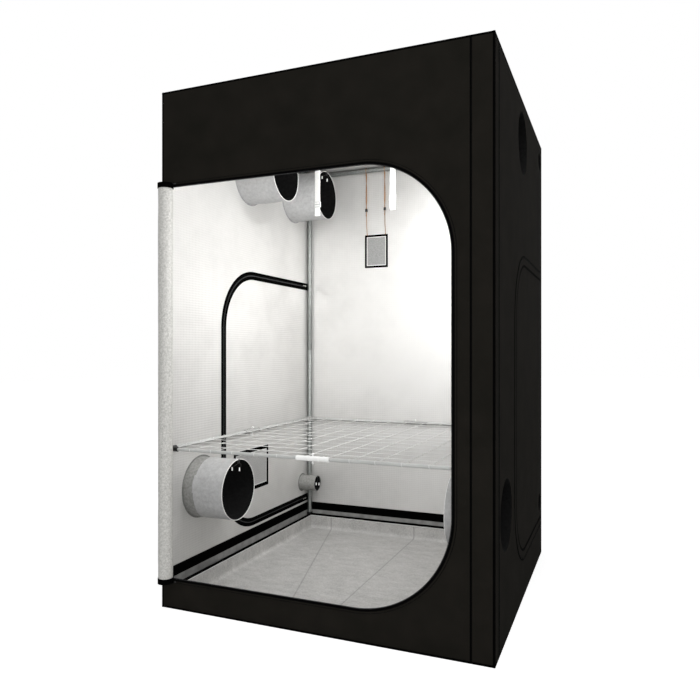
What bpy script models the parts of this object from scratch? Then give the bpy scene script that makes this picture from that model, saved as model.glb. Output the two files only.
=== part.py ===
"""Indoor grow tent: a tube frame in a cloth cover, with a hanging net shelf.

X runs to the right, Y to the rear and Z up, in metres. The origin is at the middle of the
base, on the surface that the tent stands on, and the front doorway faces -Y.
"""

import math

import bmesh
import bpy
from mathutils import Matrix, Vector

# Cover
COVER_WIDTH = 1.510
COVER_DEPTH = 1.510
COVER_HEIGHT = 2.350
CLOTH = 0.001
SEAM_PROUD = 0.0005
GAP = 0.0003
OVERRUN = 0.010

# Frame tubes and their corner connectors
TUBE_RADIUS = 0.015
TUBE_WALL = 0.0012
SOCKET_WALL = 0.0025
CORNER_STEP = 0.0007
CORNER_ARM = 0.080
CORNER_FLOOR = 0.0015
CORNER_ROUND = 0.005
CROSSBAR_RADIUS = 0.011
CROSSBAR_OFFSET = 0.280
CLAMP_WIDTH = 0.036
CLAMP_SLOT = 0.020
CLAMP_ARM = 0.050
CLAMP_ARM_WALL = 0.0025

# Front doorway, its zip border and the rolled door
DOORWAY_LEFT_STILE = 0.020
DOORWAY_RIGHT_STILE = 0.164
DOORWAY_LOW = 0.140
DOORWAY_HEAD = 0.439
DOORWAY_TOP_RADIUS = 0.370
DOORWAY_LOW_RADIUS = 0.400
FRONT_BORDER = 0.022
BORDER_LAP = 0.004
ROLL_RADIUS = 0.033
ROLL_CORE = 0.009
ROLL_CLOTH = 0.001
ROLL_TAPE = 0.004
ROLL_TAPE_HEIGHT = 0.027
ROLL_SEAM_INSET = 0.003

# Side doors
SIDE_DOOR_STILE = 0.498
SIDE_DOOR_LOW = 0.200
SIDE_DOOR_HEAD = 0.752
SIDE_DOOR_RADIUS = 0.307
SIDE_DOOR_SEAM = 0.010
SIDE_TAPE = 0.023
HINGE_SLIT = 0.0012

# Vent windows, their mesh and their outer flaps
SIDE_VENT_WIDTH = 0.373
SIDE_VENT_HEIGHT = 0.238
SIDE_VENT_INSET = 0.097
SIDE_VENT_RISE = 0.179
SIDE_VENT_BORDER = 0.022
BACK_VENT_WIDTH = 0.157
BACK_VENT_HEIGHT = 0.212
BACK_VENT_INSET = 0.408
BACK_VENT_HEAD = 0.431
BACK_VENT_BORDER = 0.014
MESH_THREAD = 0.004
MESH_PITCH = 0.030
FLAP_MARGIN = 0.015

# Duct and cable sleeves
DUCT_RADIUS = 0.145
DUCT_LENGTH = 0.220
LONG_DUCT_LENGTH = 0.235
CABLE_RADIUS = 0.048
CABLE_LENGTH = 0.112
SLEEVE_CLOTH = 0.0015
SLEEVE_FLANGE = 0.010
SLEEVE_HEM = 0.010
SLEEVE_HEM_PROUD = 0.002
LEFT_HIGH_DUCT_HEAD = 0.204
LEFT_LOW_DUCT_INSET = 0.298
LEFT_LOW_DUCT_Z = 0.496
LEFT_REAR_DUCT_INSET = 0.220
LEFT_DUCT_SPACING = 0.533
RIGHT_LOW_DUCT_INSET = 0.255
RIGHT_LOW_DUCT_Z = 0.507
RIGHT_HIGH_DUCT_Y = -0.020
RIGHT_HIGH_DUCT_HEAD = 0.202
CABLE_INSET = 0.095
CABLE_LOW_Z = 0.309
CABLE_HEAD = 0.102

# Zip sliders
SLIDER_LENGTH = 0.016
SLIDER_WIDTH = 0.009
SLIDER_HEIGHT = 0.0032
SLIDER_ROUND = 0.0012
PULL_LENGTH = 0.028
PULL_WIDTH = 0.006
PULL_THICKNESS = 0.0012
FRONT_SLIDER_INSET = 0.023
SIDE_SLIDER_INSET = 0.038

# Net shelf
NET_HEIGHT = 0.7215
NET_BAR_RADIUS = 0.0075
NET_BAR_WALL = 0.0009
NET_COUPLING_RADIUS = 0.0105
NET_COUPLING_LENGTH = 0.152
NET_HOOK_LENGTH = 0.022
NET_HOOK_RADIUS = 0.0035
NET_CLIP_ARM = 0.055
NET_CLIP_WALL = 0.0025
NET_CLIP_HEIGHT = 0.034
NET_SOCKET_DEPTH = 0.030
NET_CORD = 0.0035
NET_CELLS = 13

# Hanging straps
STRAP_WIDTH = 0.026
STRAP_CLOTH = 0.0016
STRAP_X = 0.195
STRAP_DROP = 0.517
STRAP_JOIN = 0.080
STRAP_PLY_GAP = 0.0016
BUCKLE_RISE = 0.0565
BUCKLE_HEIGHT = 0.027
BUCKLE_RIM = 0.003
BUCKLE_ROUND = 0.001

# Cord that holds up the back vent, and its two stops
VENT_CORD_RADIUS = 0.0015
VENT_CORD_LEFT_INSET = 0.017
VENT_CORD_RIGHT_INSET = 0.015
VENT_CORD_PLY = 0.0036
VENT_CORD_FORK = 0.130
VENT_CORD_TAIL = 0.032
VENT_CORD_BEND_RISE = 0.066
STOP_HEIGHT = 0.020
STOP_WIDTH = 0.014
STOP_RIM = 0.0022
STOP_ROUND = 0.0015
STOP_RISE = 0.158

# Floor tray
TRAY_CLOTH = 0.0015
TRAY_HEIGHT = 0.090
TRAY_HEM = 0.010
TRAY_HEM_PROUD = 0.001

# Facets
TUBE_SIDES = 12
DUCT_SIDES = 24
CABLE_SIDES = 12
BAR_SIDES = 12
HOOK_SIDES = 4
CORNER_STEPS = 8
ROLL_STEPS = 10
WRAP_STEPS = 6
BEVEL_STEPS = 1

# Places that follow from the sizes above
HALF_WIDTH = COVER_WIDTH / 2
HALF_DEPTH = COVER_DEPTH / 2
INNER_X = HALF_WIDTH - CLOTH
INNER_Y = HALF_DEPTH - CLOTH
WALL_LOW = CLOTH + GAP
WALL_HIGH = COVER_HEIGHT - CLOTH - GAP
SOCKET_BORE = TUBE_RADIUS + GAP
SOCKET_RADIUS = SOCKET_BORE + SOCKET_WALL
CORNER_HALF = SOCKET_RADIUS + CORNER_STEP
POST_X = INNER_X - GAP - CORNER_HALF
POST_Y = INNER_Y - GAP - CORNER_HALF
RAIL_LOW = CLOTH + GAP + CORNER_HALF
RAIL_HIGH = COVER_HEIGHT - CLOTH - GAP - CORNER_HALF
SOCKET_FLOOR = CORNER_HALF + CORNER_FLOOR
TUBE_END = SOCKET_FLOOR + GAP
SEAM_FACE = SEAM_PROUD + GAP
DOORWAY_LEFT = -HALF_WIDTH + DOORWAY_LEFT_STILE
DOORWAY_RIGHT = HALF_WIDTH - DOORWAY_RIGHT_STILE
DOORWAY_HIGH = COVER_HEIGHT - DOORWAY_HEAD
ROLL_Y = -HALF_DEPTH - SEAM_FACE - ROLL_RADIUS - ROLL_TAPE
ROLL_SEAM_X = DOORWAY_LEFT - ROLL_SEAM_INSET
ROLL_X = ROLL_SEAM_X + ROLL_RADIUS
HINGE_Y = INNER_Y - SIDE_DOOR_SEAM
HINGE_X = HALF_WIDTH + SEAM_FACE
SIDE_DOOR_FRONT = -HALF_DEPTH + SIDE_DOOR_STILE
SIDE_DOOR_HIGH = COVER_HEIGHT - SIDE_DOOR_HEAD
SIDE_VENT_FRONT = SIDE_DOOR_FRONT + SIDE_VENT_INSET
SIDE_VENT_REAR = SIDE_VENT_FRONT + SIDE_VENT_WIDTH
SIDE_VENT_LOW = SIDE_DOOR_LOW + SIDE_VENT_RISE
SIDE_VENT_HIGH = SIDE_VENT_LOW + SIDE_VENT_HEIGHT
BACK_VENT_LEFT = -HALF_WIDTH + BACK_VENT_INSET
BACK_VENT_RIGHT = BACK_VENT_LEFT + BACK_VENT_WIDTH
BACK_VENT_HIGH = COVER_HEIGHT - BACK_VENT_HEAD
BACK_VENT_LOW = BACK_VENT_HIGH - BACK_VENT_HEIGHT
LEFT_LOW_DUCT_Y = -HALF_DEPTH + LEFT_LOW_DUCT_INSET
LEFT_REAR_DUCT_Y = HALF_DEPTH - LEFT_REAR_DUCT_INSET
LEFT_FRONT_DUCT_Y = LEFT_REAR_DUCT_Y - LEFT_DUCT_SPACING
LEFT_HIGH_DUCT_Z = COVER_HEIGHT - LEFT_HIGH_DUCT_HEAD
RIGHT_LOW_DUCT_Y = -HALF_DEPTH + RIGHT_LOW_DUCT_INSET
RIGHT_HIGH_DUCT_Z = COVER_HEIGHT - RIGHT_HIGH_DUCT_HEAD
CABLE_Y = HALF_DEPTH - CABLE_INSET
CABLE_HIGH_Z = COVER_HEIGHT - CABLE_HEAD
FRONT_SLIDER_X = DOORWAY_LEFT + FRONT_SLIDER_INSET
SIDE_SLIDER_Y = HINGE_Y - SIDE_SLIDER_INSET
STRAP_LOW = COVER_HEIGHT - STRAP_DROP
BUCKLE_MIDDLE = STRAP_LOW + BUCKLE_RISE
VENT_CORD_LEFT = BACK_VENT_LEFT + VENT_CORD_LEFT_INSET
VENT_CORD_RIGHT = BACK_VENT_RIGHT - VENT_CORD_RIGHT_INSET
VENT_CORD_BEND = BACK_VENT_HIGH + VENT_CORD_BEND_RISE
STOP_MIDDLE = BACK_VENT_HIGH + STOP_RISE
QUARTER = math.pi / 2

PARTS = "Grow tent"
HELPERS = "Cutters and joins"


def clear_scene():
    for item in list(bpy.data.objects):
        bpy.data.objects.remove(item, do_unlink=True)
    for name in (PARTS, HELPERS):
        group = bpy.data.collections.new(name)
        bpy.context.scene.collection.children.link(group)


def finish_material(name, red, green, blue, roughness, metallic=0.0):
    """A finish named for what the surface is, made once and shared."""
    made = bpy.data.materials.get(name)
    if made:
        return made
    made = bpy.data.materials.new(name)
    made.use_nodes = True
    shader = made.node_tree.nodes["Principled BSDF"]
    shader.inputs["Base Color"].default_value = (red, green, blue, 1.0)
    shader.inputs["Roughness"].default_value = roughness
    shader.inputs["Metallic"].default_value = metallic
    return made


def black_cloth():
    return finish_material("black Oxford cloth", 0.012, 0.011, 0.010, 0.75)


def silver_lining():
    return finish_material("silver lining", 0.82, 0.82, 0.80, 0.45)


def grey_sleeve_cloth():
    return finish_material("grey sleeve cloth", 0.35, 0.35, 0.36, 0.6)


def galvanised_tube():
    return finish_material("galvanised steel tube", 0.40, 0.41, 0.40, 0.35, 0.9)


def black_plastic():
    return finish_material("black moulded plastic", 0.015, 0.015, 0.015, 0.45)


def white_enamel():
    return finish_material("white enamelled steel", 0.75, 0.76, 0.75, 0.4)


def white_webbing():
    return finish_material("white webbing", 0.85, 0.85, 0.84, 0.7)


def orange_cord():
    return finish_material("orange braided cord", 0.36, 0.15, 0.05, 0.8)


def grey_tray_cloth():
    return finish_material("grey tray cloth", 0.30, 0.30, 0.29, 0.5)


def zinc_casting():
    return finish_material("zinc slider", 0.55, 0.55, 0.55, 0.35, 0.9)


def place_in(group, item):
    bpy.data.collections[group].objects.link(item)
    return item


def as_part(item, material):
    """Puts a finished object among the parts, with its own finish."""
    item.data.materials.clear()
    item.data.materials.append(material)
    return place_in(PARTS, item)


def mesh_object(name, shape):
    mesh = bpy.data.meshes.new(name)
    shape.to_mesh(mesh)
    shape.free()
    return bpy.data.objects.new(name, mesh)


def smooth(item):
    item.data.shade_smooth()
    item.data.set_sharp_from_angle(angle=math.radians(40))
    return item


def box(name, low, high, rounding=0.0):
    """A block between two opposite corners, its edges rounded if asked."""
    low, high = Vector(low), Vector(high)
    shape = bmesh.new()
    size = high - low
    bmesh.ops.create_cube(shape, size=1.0, matrix=Matrix.Diagonal(size).to_4x4())
    item = mesh_object(name, shape)
    item.location = (low + high) / 2
    if rounding:
        bevel = item.modifiers.new("Rounded edges", "BEVEL")
        bevel.width = rounding
        bevel.segments = BEVEL_STEPS
    return item


def along(start, end):
    """Where a cylinder's middle lies, and how it is turned, to run between two points."""
    run = Vector(end) - Vector(start)
    turn = run.to_track_quat("Z", "Y").to_matrix().to_4x4()
    return Matrix.Translation((Vector(start) + Vector(end)) / 2) @ turn


def rod(name, start, end, radius, sides):
    shape = bmesh.new()
    length = (Vector(end) - Vector(start)).length
    bmesh.ops.create_cone(
        shape, cap_ends=True, segments=sides, radius1=radius, radius2=radius, depth=length
    )
    item = mesh_object(name, shape)
    item.matrix_world = along(start, end)
    return smooth(item)


def tube(name, start, end, radius, wall, sides):
    """An open-ended pipe: a bare cylinder wall, thickened inwards."""
    shape = bmesh.new()
    length = (Vector(end) - Vector(start)).length
    bmesh.ops.create_cone(
        shape, cap_ends=False, segments=sides, radius1=radius, radius2=radius, depth=length
    )
    item = mesh_object(name, shape)
    item.matrix_world = along(start, end)
    solid = item.modifiers.new("Pipe wall", "SOLIDIFY")
    solid.thickness = wall
    solid.offset = -1
    return smooth(item)


def carve(item, joins=(), cuts=(), solver="EXACT"):
    """Joins solids to a base and cuts others out of it, then keeps the result as its mesh."""
    place_in(HELPERS, item)
    for operation, others in (("UNION", joins), ("DIFFERENCE", cuts)):
        for other in others:
            place_in(HELPERS, other)
            other.hide_render = True
            other.display_type = "WIRE"
            change = item.modifiers.new(operation.title(), "BOOLEAN")
            change.operation = operation
            change.solver = solver
            change.object = other
    bpy.context.view_layer.update()
    seen = item.evaluated_get(bpy.context.evaluated_depsgraph_get())
    mesh = bpy.data.meshes.new_from_object(seen)
    made = bpy.data.objects.new(item.name, mesh)
    made.matrix_world = item.matrix_world
    name = item.name
    for helper in (item, *joins, *cuts):
        bpy.data.objects.remove(helper, do_unlink=True)
    made.name = name
    return made


def outline_curve(name, outlines, thickness):
    """A flat plate: closed outlines, the first the edge and the others holes in it."""
    curve = bpy.data.curves.new(name, "CURVE")
    curve.dimensions = "2D"
    curve.fill_mode = "BOTH"
    curve.extrude = thickness / 2
    for points in outlines:
        spline = curve.splines.new("POLY")
        spline.points.add(len(points) - 1)
        for point, (across, up) in zip(spline.points, points):
            point.co = (across, up, 0, 1)
        spline.use_cyclic_u = True
    return bpy.data.objects.new(name, curve)


def faces_y(item, middle):
    """Stands a flat plate up across the depth: its own X and Y become X and Z."""
    item.matrix_world = Matrix.Translation((0, middle, 0)) @ Matrix.Rotation(QUARTER, 4, "X")
    return item


def faces_x(item, middle):
    """Stands a flat plate up across the width: its own X and Y become Y and Z."""
    turn = Matrix.Rotation(QUARTER, 4, "Z") @ Matrix.Rotation(QUARTER, 4, "X")
    item.matrix_world = Matrix.Translation((middle, 0, 0)) @ turn
    return item


def lies_flat(item, middle):
    item.matrix_world = Matrix.Translation((0, 0, middle))
    return item


def closed_mesh(item):
    """The mesh of a curve, with its loose caps welded on."""
    place_in(HELPERS, item)
    bpy.context.view_layer.update()
    seen = item.evaluated_get(bpy.context.evaluated_depsgraph_get())
    mesh = bpy.data.meshes.new_from_object(seen)
    shape = bmesh.new()
    shape.from_mesh(mesh)
    bmesh.ops.remove_doubles(shape, verts=shape.verts, dist=GAP / 10)
    bmesh.ops.recalc_face_normals(shape, faces=shape.faces)
    shape.to_mesh(mesh)
    shape.free()
    name = item.name
    place = item.matrix_world.copy()
    bpy.data.objects.remove(item, do_unlink=True)
    made = bpy.data.objects.new(name, mesh)
    made.matrix_world = place
    return made


def rectangle(left, right, low, high):
    return [(left, low), (right, low), (right, high), (left, high)]


def circle(across, up, radius, sides):
    turns = (2 * math.pi * step / sides for step in range(sides))
    return [(across + radius * math.cos(turn), up + radius * math.sin(turn)) for turn in turns]


def arc(across, up, radius, first, last, steps):
    """Points on a circle between two angles, in degrees, both ends included."""
    angles = (math.radians(first + (last - first) * step / steps) for step in range(steps + 1))
    return [(across + radius * math.cos(turn), up + radius * math.sin(turn)) for turn in angles]


def door_path(sewn, free, low, high, low_radius, high_radius):
    """The zipped edge of a D-shaped door, from its sewn side along the top, round and back."""
    facing = 1 if free > sewn else -1
    top = arc(free - facing * high_radius, high - high_radius, high_radius, 90, 0, CORNER_STEPS)
    bottom = arc(free - facing * low_radius, low + low_radius, low_radius, 0, -90, CORNER_STEPS)
    points = top + bottom
    if facing < 0:
        points = [(2 * (free + high_radius) - across, up) for across, up in top]
        points += [(2 * (free + low_radius) - across, up) for across, up in bottom]
    return [(sewn, high)] + points + [(sewn, low)]


def grown_door(door, by, sewn_shift=0.0):
    """A D-shaped door's zipped edge moved outwards by a distance, or inwards if negative."""
    facing = 1 if door["free"] > door["sewn"] else -1
    return door_path(
        door["sewn"] + sewn_shift,
        door["free"] + facing * by,
        door["low"] - by,
        door["high"] + by,
        door["low_radius"] + by,
        door["high_radius"] + by,
    )


def door_band(name, door, outer, inner, end_shift, thickness):
    """A strip that follows a door's zipped edge, between two offsets from it."""
    outside = grown_door(door, outer, end_shift)
    inside = grown_door(door, inner, end_shift)
    return outline_curve(name, [outside + inside[::-1]], thickness)


def mesh_holes(left, right, low, high):
    """The openings of a vent's mesh, as many as its thread pitch leaves room for.

    The mesh starts a thread inside its frame, so that the frame laps its edge all round.
    """
    left, low = left + MESH_THREAD, low + MESH_THREAD
    right, high = right - MESH_THREAD, high - MESH_THREAD
    columns = max(1, round((right - left) / MESH_PITCH))
    rows = max(1, round((high - low) / MESH_PITCH))
    wide = (right - left - MESH_THREAD * (columns - 1)) / columns
    tall = (high - low - MESH_THREAD * (rows - 1)) / rows
    holes = []
    for column in range(columns):
        for row in range(rows):
            across = left + column * (wide + MESH_THREAD)
            up = low + row * (tall + MESH_THREAD)
            holes.append(rectangle(across, across + wide, up, up + tall))
    return holes


FRONT_DOOR = {
    "sewn": DOORWAY_LEFT,
    "free": DOORWAY_RIGHT,
    "low": DOORWAY_LOW,
    "high": DOORWAY_HIGH,
    "low_radius": DOORWAY_LOW_RADIUS,
    "high_radius": DOORWAY_TOP_RADIUS,
}
SIDE_DOOR = {
    "sewn": HINGE_Y,
    "free": SIDE_DOOR_FRONT,
    "low": SIDE_DOOR_LOW,
    "high": SIDE_DOOR_HIGH,
    "low_radius": SIDE_DOOR_RADIUS,
    "high_radius": SIDE_DOOR_RADIUS,
}
SEAMED = CLOTH + 2 * SEAM_PROUD


def front_panel():
    """The front of the cover: black cloth with a D-shaped doorway and its zip border."""
    edge = rectangle(-HALF_WIDTH, HALF_WIDTH, WALL_LOW, WALL_HIGH)
    doorway = grown_door(FRONT_DOOR, FRONT_BORDER / 2)
    middle = -HALF_DEPTH + CLOTH / 2
    panel = closed_mesh(faces_y(outline_curve("front_panel", [edge, doorway], CLOTH), middle))
    border = door_band("front border", FRONT_DOOR, FRONT_BORDER, 0.0, -BORDER_LAP, SEAMED)
    border = closed_mesh(faces_y(border, middle))
    as_part(carve(panel, joins=[border]), black_cloth())


def side_wall(name, side, ports, finish):
    """A side of the cover, with its round ports and the outer half of its door's zip."""
    edge = rectangle(-INNER_Y + GAP, INNER_Y - GAP, WALL_LOW, WALL_HIGH)
    doorway = grown_door(SIDE_DOOR, SIDE_TAPE / 2, HINGE_SLIT)
    holes = [circle(*port) for port in ports]
    middle = side * (HALF_WIDTH - CLOTH / 2)
    panel = outline_curve(name, [edge, doorway, *holes], CLOTH)
    panel = closed_mesh(faces_x(panel, middle))
    tape = door_band("outer zip tape", SIDE_DOOR, SIDE_TAPE, 0.0, HINGE_SLIT + BORDER_LAP, SEAMED)
    tape = closed_mesh(faces_x(tape, middle))
    as_part(carve(panel, joins=[tape]), finish)


def side_door(name, side, ports, finish, vent=None):
    """A D-shaped door zipped into a side, sewn on along its rear edge, where it swings."""
    holes = [circle(*port) for port in ports]
    joins = []
    middle = side * (HALF_WIDTH - CLOTH / 2)
    if vent:
        left, right, low, high, border = vent
        inner = rectangle(left + border, right - border, low + border, high - border)
        frame = outline_curve("vent frame", [rectangle(left, right, low, high), inner], SEAMED)
        joins.append(closed_mesh(faces_x(frame, middle)))
    edge = grown_door(SIDE_DOOR, -SIDE_TAPE / 2, -GAP)
    panel = outline_curve(name, [edge, *holes], CLOTH)
    panel = closed_mesh(faces_x(panel, middle))
    tape = door_band("inner zip tape", SIDE_DOOR, -GAP, -SIDE_TAPE, -CLOTH, SEAMED)
    joins.append(closed_mesh(faces_x(tape, middle)))
    made = carve(panel, joins=joins, solver="MANIFOLD")
    hinge = Vector((side * HINGE_X, HINGE_Y, 0))
    set_origin(made, hinge)
    as_part(made, finish)


def set_origin(item, point):
    """Moves an object's own origin to a point without moving its shape."""
    shift = item.matrix_world.inverted() @ Vector(point)
    item.data.transform(Matrix.Translation(-shift))
    item.matrix_world = item.matrix_world @ Matrix.Translation(shift)


def back_wall():
    """The rear of the cover, with a small mesh vent in a sewn frame."""
    edge = rectangle(-HALF_WIDTH, HALF_WIDTH, WALL_LOW, WALL_HIGH)
    border = BACK_VENT_BORDER
    inner = (
        BACK_VENT_LEFT + border,
        BACK_VENT_RIGHT - border,
        BACK_VENT_LOW + border,
        BACK_VENT_HIGH - border,
    )
    outer = rectangle(BACK_VENT_LEFT, BACK_VENT_RIGHT, BACK_VENT_LOW, BACK_VENT_HIGH)
    middle = HALF_DEPTH - CLOTH / 2
    panel = outline_curve("back_wall", [edge, *mesh_holes(*inner)], CLOTH)
    panel = closed_mesh(faces_y(panel, middle))
    frame = outline_curve("back vent frame", [outer, rectangle(*inner)], SEAMED)
    frame = closed_mesh(faces_y(frame, middle))
    as_part(carve(panel, joins=[frame]), silver_lining())


def roof_and_base():
    whole = rectangle(-HALF_WIDTH, HALF_WIDTH, -HALF_DEPTH, HALF_DEPTH)
    roof = lies_flat(outline_curve("roof_panel", [whole], CLOTH), COVER_HEIGHT - CLOTH / 2)
    as_part(roof, black_cloth())
    base = lies_flat(outline_curve("base_panel", [whole], CLOTH), CLOTH / 2)
    as_part(base, black_cloth())


def roll_section():
    """The rolled door seen from above: a spiral of cloth with a tail back to its seam.

    The door's own width sets how tightly it winds, between the core and the outer radius.
    """
    door_width = DOORWAY_RIGHT - DOORWAY_LEFT
    pitch = math.pi * (ROLL_RADIUS**2 - ROLL_CORE**2) / door_width
    pitch = max(pitch, ROLL_CLOTH + 2 * GAP)
    turns = (ROLL_RADIUS - ROLL_CORE) / pitch
    steps = round(turns * ROLL_STEPS)
    outside, inside = [], []
    for step in range(steps + 1):
        radius = ROLL_RADIUS - pitch * turns * step / steps
        angle = math.pi + 2 * math.pi * turns * step / steps
        across, back = math.cos(angle), math.sin(angle)
        outside.append((ROLL_X + radius * across, ROLL_Y + radius * back))
        inner = radius - ROLL_CLOTH
        inside.append((ROLL_X + inner * across, ROLL_Y + inner * back))
    tail = -HALF_DEPTH - SEAM_FACE
    ends = [(outside[0][0], tail), (inside[0][0], tail)]
    return [ends[0]] + outside + inside[::-1] + [ends[1]]


def front_door_roll():
    """The front door, unzipped and rolled up beside its sewn edge, lining outwards."""
    high = DOORWAY_HIGH + FRONT_BORDER / 2 - GAP
    low = DOORWAY_LOW - FRONT_BORDER / 2 + GAP
    roll = outline_curve("front_door_roll", [roll_section()], high - low)
    roll = closed_mesh(lies_flat(roll, (high + low) / 2))
    bands = []
    outer = ROLL_RADIUS + ROLL_TAPE
    inner = ROLL_RADIUS - ROLL_CLOTH / 2
    for end, start in ((high, high - ROLL_TAPE_HEIGHT), (low + ROLL_TAPE_HEIGHT, low)):
        ring = [
            circle(ROLL_X, ROLL_Y, outer, 2 * ROLL_STEPS),
            circle(ROLL_X, ROLL_Y, inner, 2 * ROLL_STEPS),
        ]
        band = outline_curve("rolled zip tape", ring, end - start)
        bands.append(closed_mesh(lies_flat(band, (start + end) / 2)))
    made = carve(roll, joins=bands)
    set_origin(made, (ROLL_SEAM_X, -HALF_DEPTH - SEAM_FACE, 0))
    as_part(smooth(made), silver_lining())


def flap(name, outline, turn, middle, hinge):
    """An outer weather flap over a vent, sewn on along its top edge, where it lifts."""
    item = closed_mesh(turn(outline_curve(name, [outline], CLOTH), middle))
    set_origin(item, hinge)
    as_part(item, black_cloth())


def vent_flaps():
    """Each flap laps over its window's frame all round and hangs shut against it."""
    side_face = HALF_WIDTH + SEAM_FACE + CLOTH / 2
    side_outline = rectangle(
        SIDE_VENT_FRONT - FLAP_MARGIN,
        SIDE_VENT_REAR + FLAP_MARGIN,
        SIDE_VENT_LOW - FLAP_MARGIN,
        SIDE_VENT_HIGH + FLAP_MARGIN,
    )
    top = SIDE_VENT_HIGH + FLAP_MARGIN
    flap("left_vent_flap", side_outline, faces_x, -side_face, (-side_face, 0, top))
    back_face = HALF_DEPTH + SEAM_FACE + CLOTH / 2
    back_outline = rectangle(
        BACK_VENT_LEFT - FLAP_MARGIN,
        BACK_VENT_RIGHT + FLAP_MARGIN,
        BACK_VENT_LOW - FLAP_MARGIN,
        BACK_VENT_HIGH + FLAP_MARGIN,
    )
    top = BACK_VENT_HIGH + FLAP_MARGIN
    flap("back_vent_flap", back_outline, faces_y, back_face, (0, back_face, top))


def sleeve(name, side, y, z, radius, length, sides):
    """A cloth sleeve turned about its port: its sewn flange, its wall and its mouth's hem."""
    wall = radius + SLEEVE_CLOTH
    hem = wall + SLEEVE_HEM_PROUD
    hem_start = length - SLEEVE_HEM
    profile = [
        (hem, length),
        (hem, hem_start),
        (wall, hem_start),
        (wall, SLEEVE_CLOTH),
        (radius + SLEEVE_FLANGE, SLEEVE_CLOTH),
        (radius + SLEEVE_FLANGE, 0),
        (radius, 0),
        (radius, length),
    ]
    shape = bmesh.new()
    points = [shape.verts.new((across, 0, up)) for across, up in profile]
    for first, second in zip(points, points[1:] + points[:1]):
        shape.edges.new((first, second))
    item = mesh_object(name, shape)
    turned = item.modifiers.new("Turned profile", "SCREW")
    turned.steps = sides
    turned.render_steps = sides
    turned.use_merge_vertices = True
    turned.merge_threshold = GAP / 10
    inward = Matrix.Rotation(-side * QUARTER, 4, "Y")
    item.matrix_world = Matrix.Translation((side * (INNER_X - GAP), y, z)) @ inward
    as_part(item, grey_sleeve_cloth())


LEFT_DUCTS = (
    ("duct_sleeve_left_low", LEFT_LOW_DUCT_Y, LEFT_LOW_DUCT_Z, DUCT_RADIUS, DUCT_LENGTH),
    ("duct_sleeve_left_front", LEFT_FRONT_DUCT_Y, LEFT_HIGH_DUCT_Z, DUCT_RADIUS, LONG_DUCT_LENGTH),
    ("duct_sleeve_left_rear", LEFT_REAR_DUCT_Y, LEFT_HIGH_DUCT_Z, DUCT_RADIUS, LONG_DUCT_LENGTH),
)
RIGHT_DUCTS = (
    ("duct_sleeve_right_low", RIGHT_LOW_DUCT_Y, RIGHT_LOW_DUCT_Z, DUCT_RADIUS, DUCT_LENGTH),
    ("duct_sleeve_right_high", RIGHT_HIGH_DUCT_Y, RIGHT_HIGH_DUCT_Z, DUCT_RADIUS, DUCT_LENGTH),
)


def port_of(duct):
    """The hole that a duct sleeve is sewn round."""
    _, y, z, radius, _ = duct
    return (y, z, radius, DUCT_SIDES)


def cover():
    front_panel()
    low_port = (CABLE_Y, CABLE_LOW_Z, CABLE_RADIUS, CABLE_SIDES)
    high_port = (CABLE_Y, CABLE_HIGH_Z, CABLE_RADIUS, CABLE_SIDES)
    left_ports = [port_of(duct) for duct in LEFT_DUCTS]
    right_ports = [port_of(duct) for duct in RIGHT_DUCTS] + [high_port]
    side_wall("left_wall", -1, left_ports, silver_lining())
    side_wall("right_wall", 1, right_ports, black_cloth())
    vent = (SIDE_VENT_FRONT, SIDE_VENT_REAR, SIDE_VENT_LOW, SIDE_VENT_HIGH, SIDE_VENT_BORDER)
    side_door("left_side_door", -1, [low_port], silver_lining(), vent)
    side_door("right_side_door", 1, [low_port], black_cloth())
    back_wall()
    roof_and_base()
    front_door_roll()
    vent_flaps()
    for side, ducts in ((-1, LEFT_DUCTS), (1, RIGHT_DUCTS)):
        for name, y, z, radius, length in ducts:
            sleeve(name, side, y, z, radius, length, DUCT_SIDES)
    cables = (
        ("cable_sleeve_left", -1, CABLE_LOW_Z),
        ("cable_sleeve_right_low", 1, CABLE_LOW_Z),
        ("cable_sleeve_right_high", 1, CABLE_HIGH_Z),
    )
    for name, side, z in cables:
        sleeve(name, side, CABLE_Y, z, CABLE_RADIUS, CABLE_LENGTH, CABLE_SIDES)


def slider_shape():
    """A zip slider lying on its tape, its pull tab laid along +X."""
    body = box(
        "zip slider",
        (-SLIDER_LENGTH / 2, -SLIDER_WIDTH / 2, 0),
        (SLIDER_LENGTH / 2, SLIDER_WIDTH / 2, SLIDER_HEIGHT),
        SLIDER_ROUND,
    )
    low = (SLIDER_HEIGHT - PULL_THICKNESS) / 2
    pull = box(
        "pull tab",
        (0, -PULL_WIDTH / 2, low),
        (SLIDER_LENGTH / 2 + PULL_LENGTH, PULL_WIDTH / 2, low + PULL_THICKNESS),
    )
    return carve(body, joins=[pull])


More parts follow.
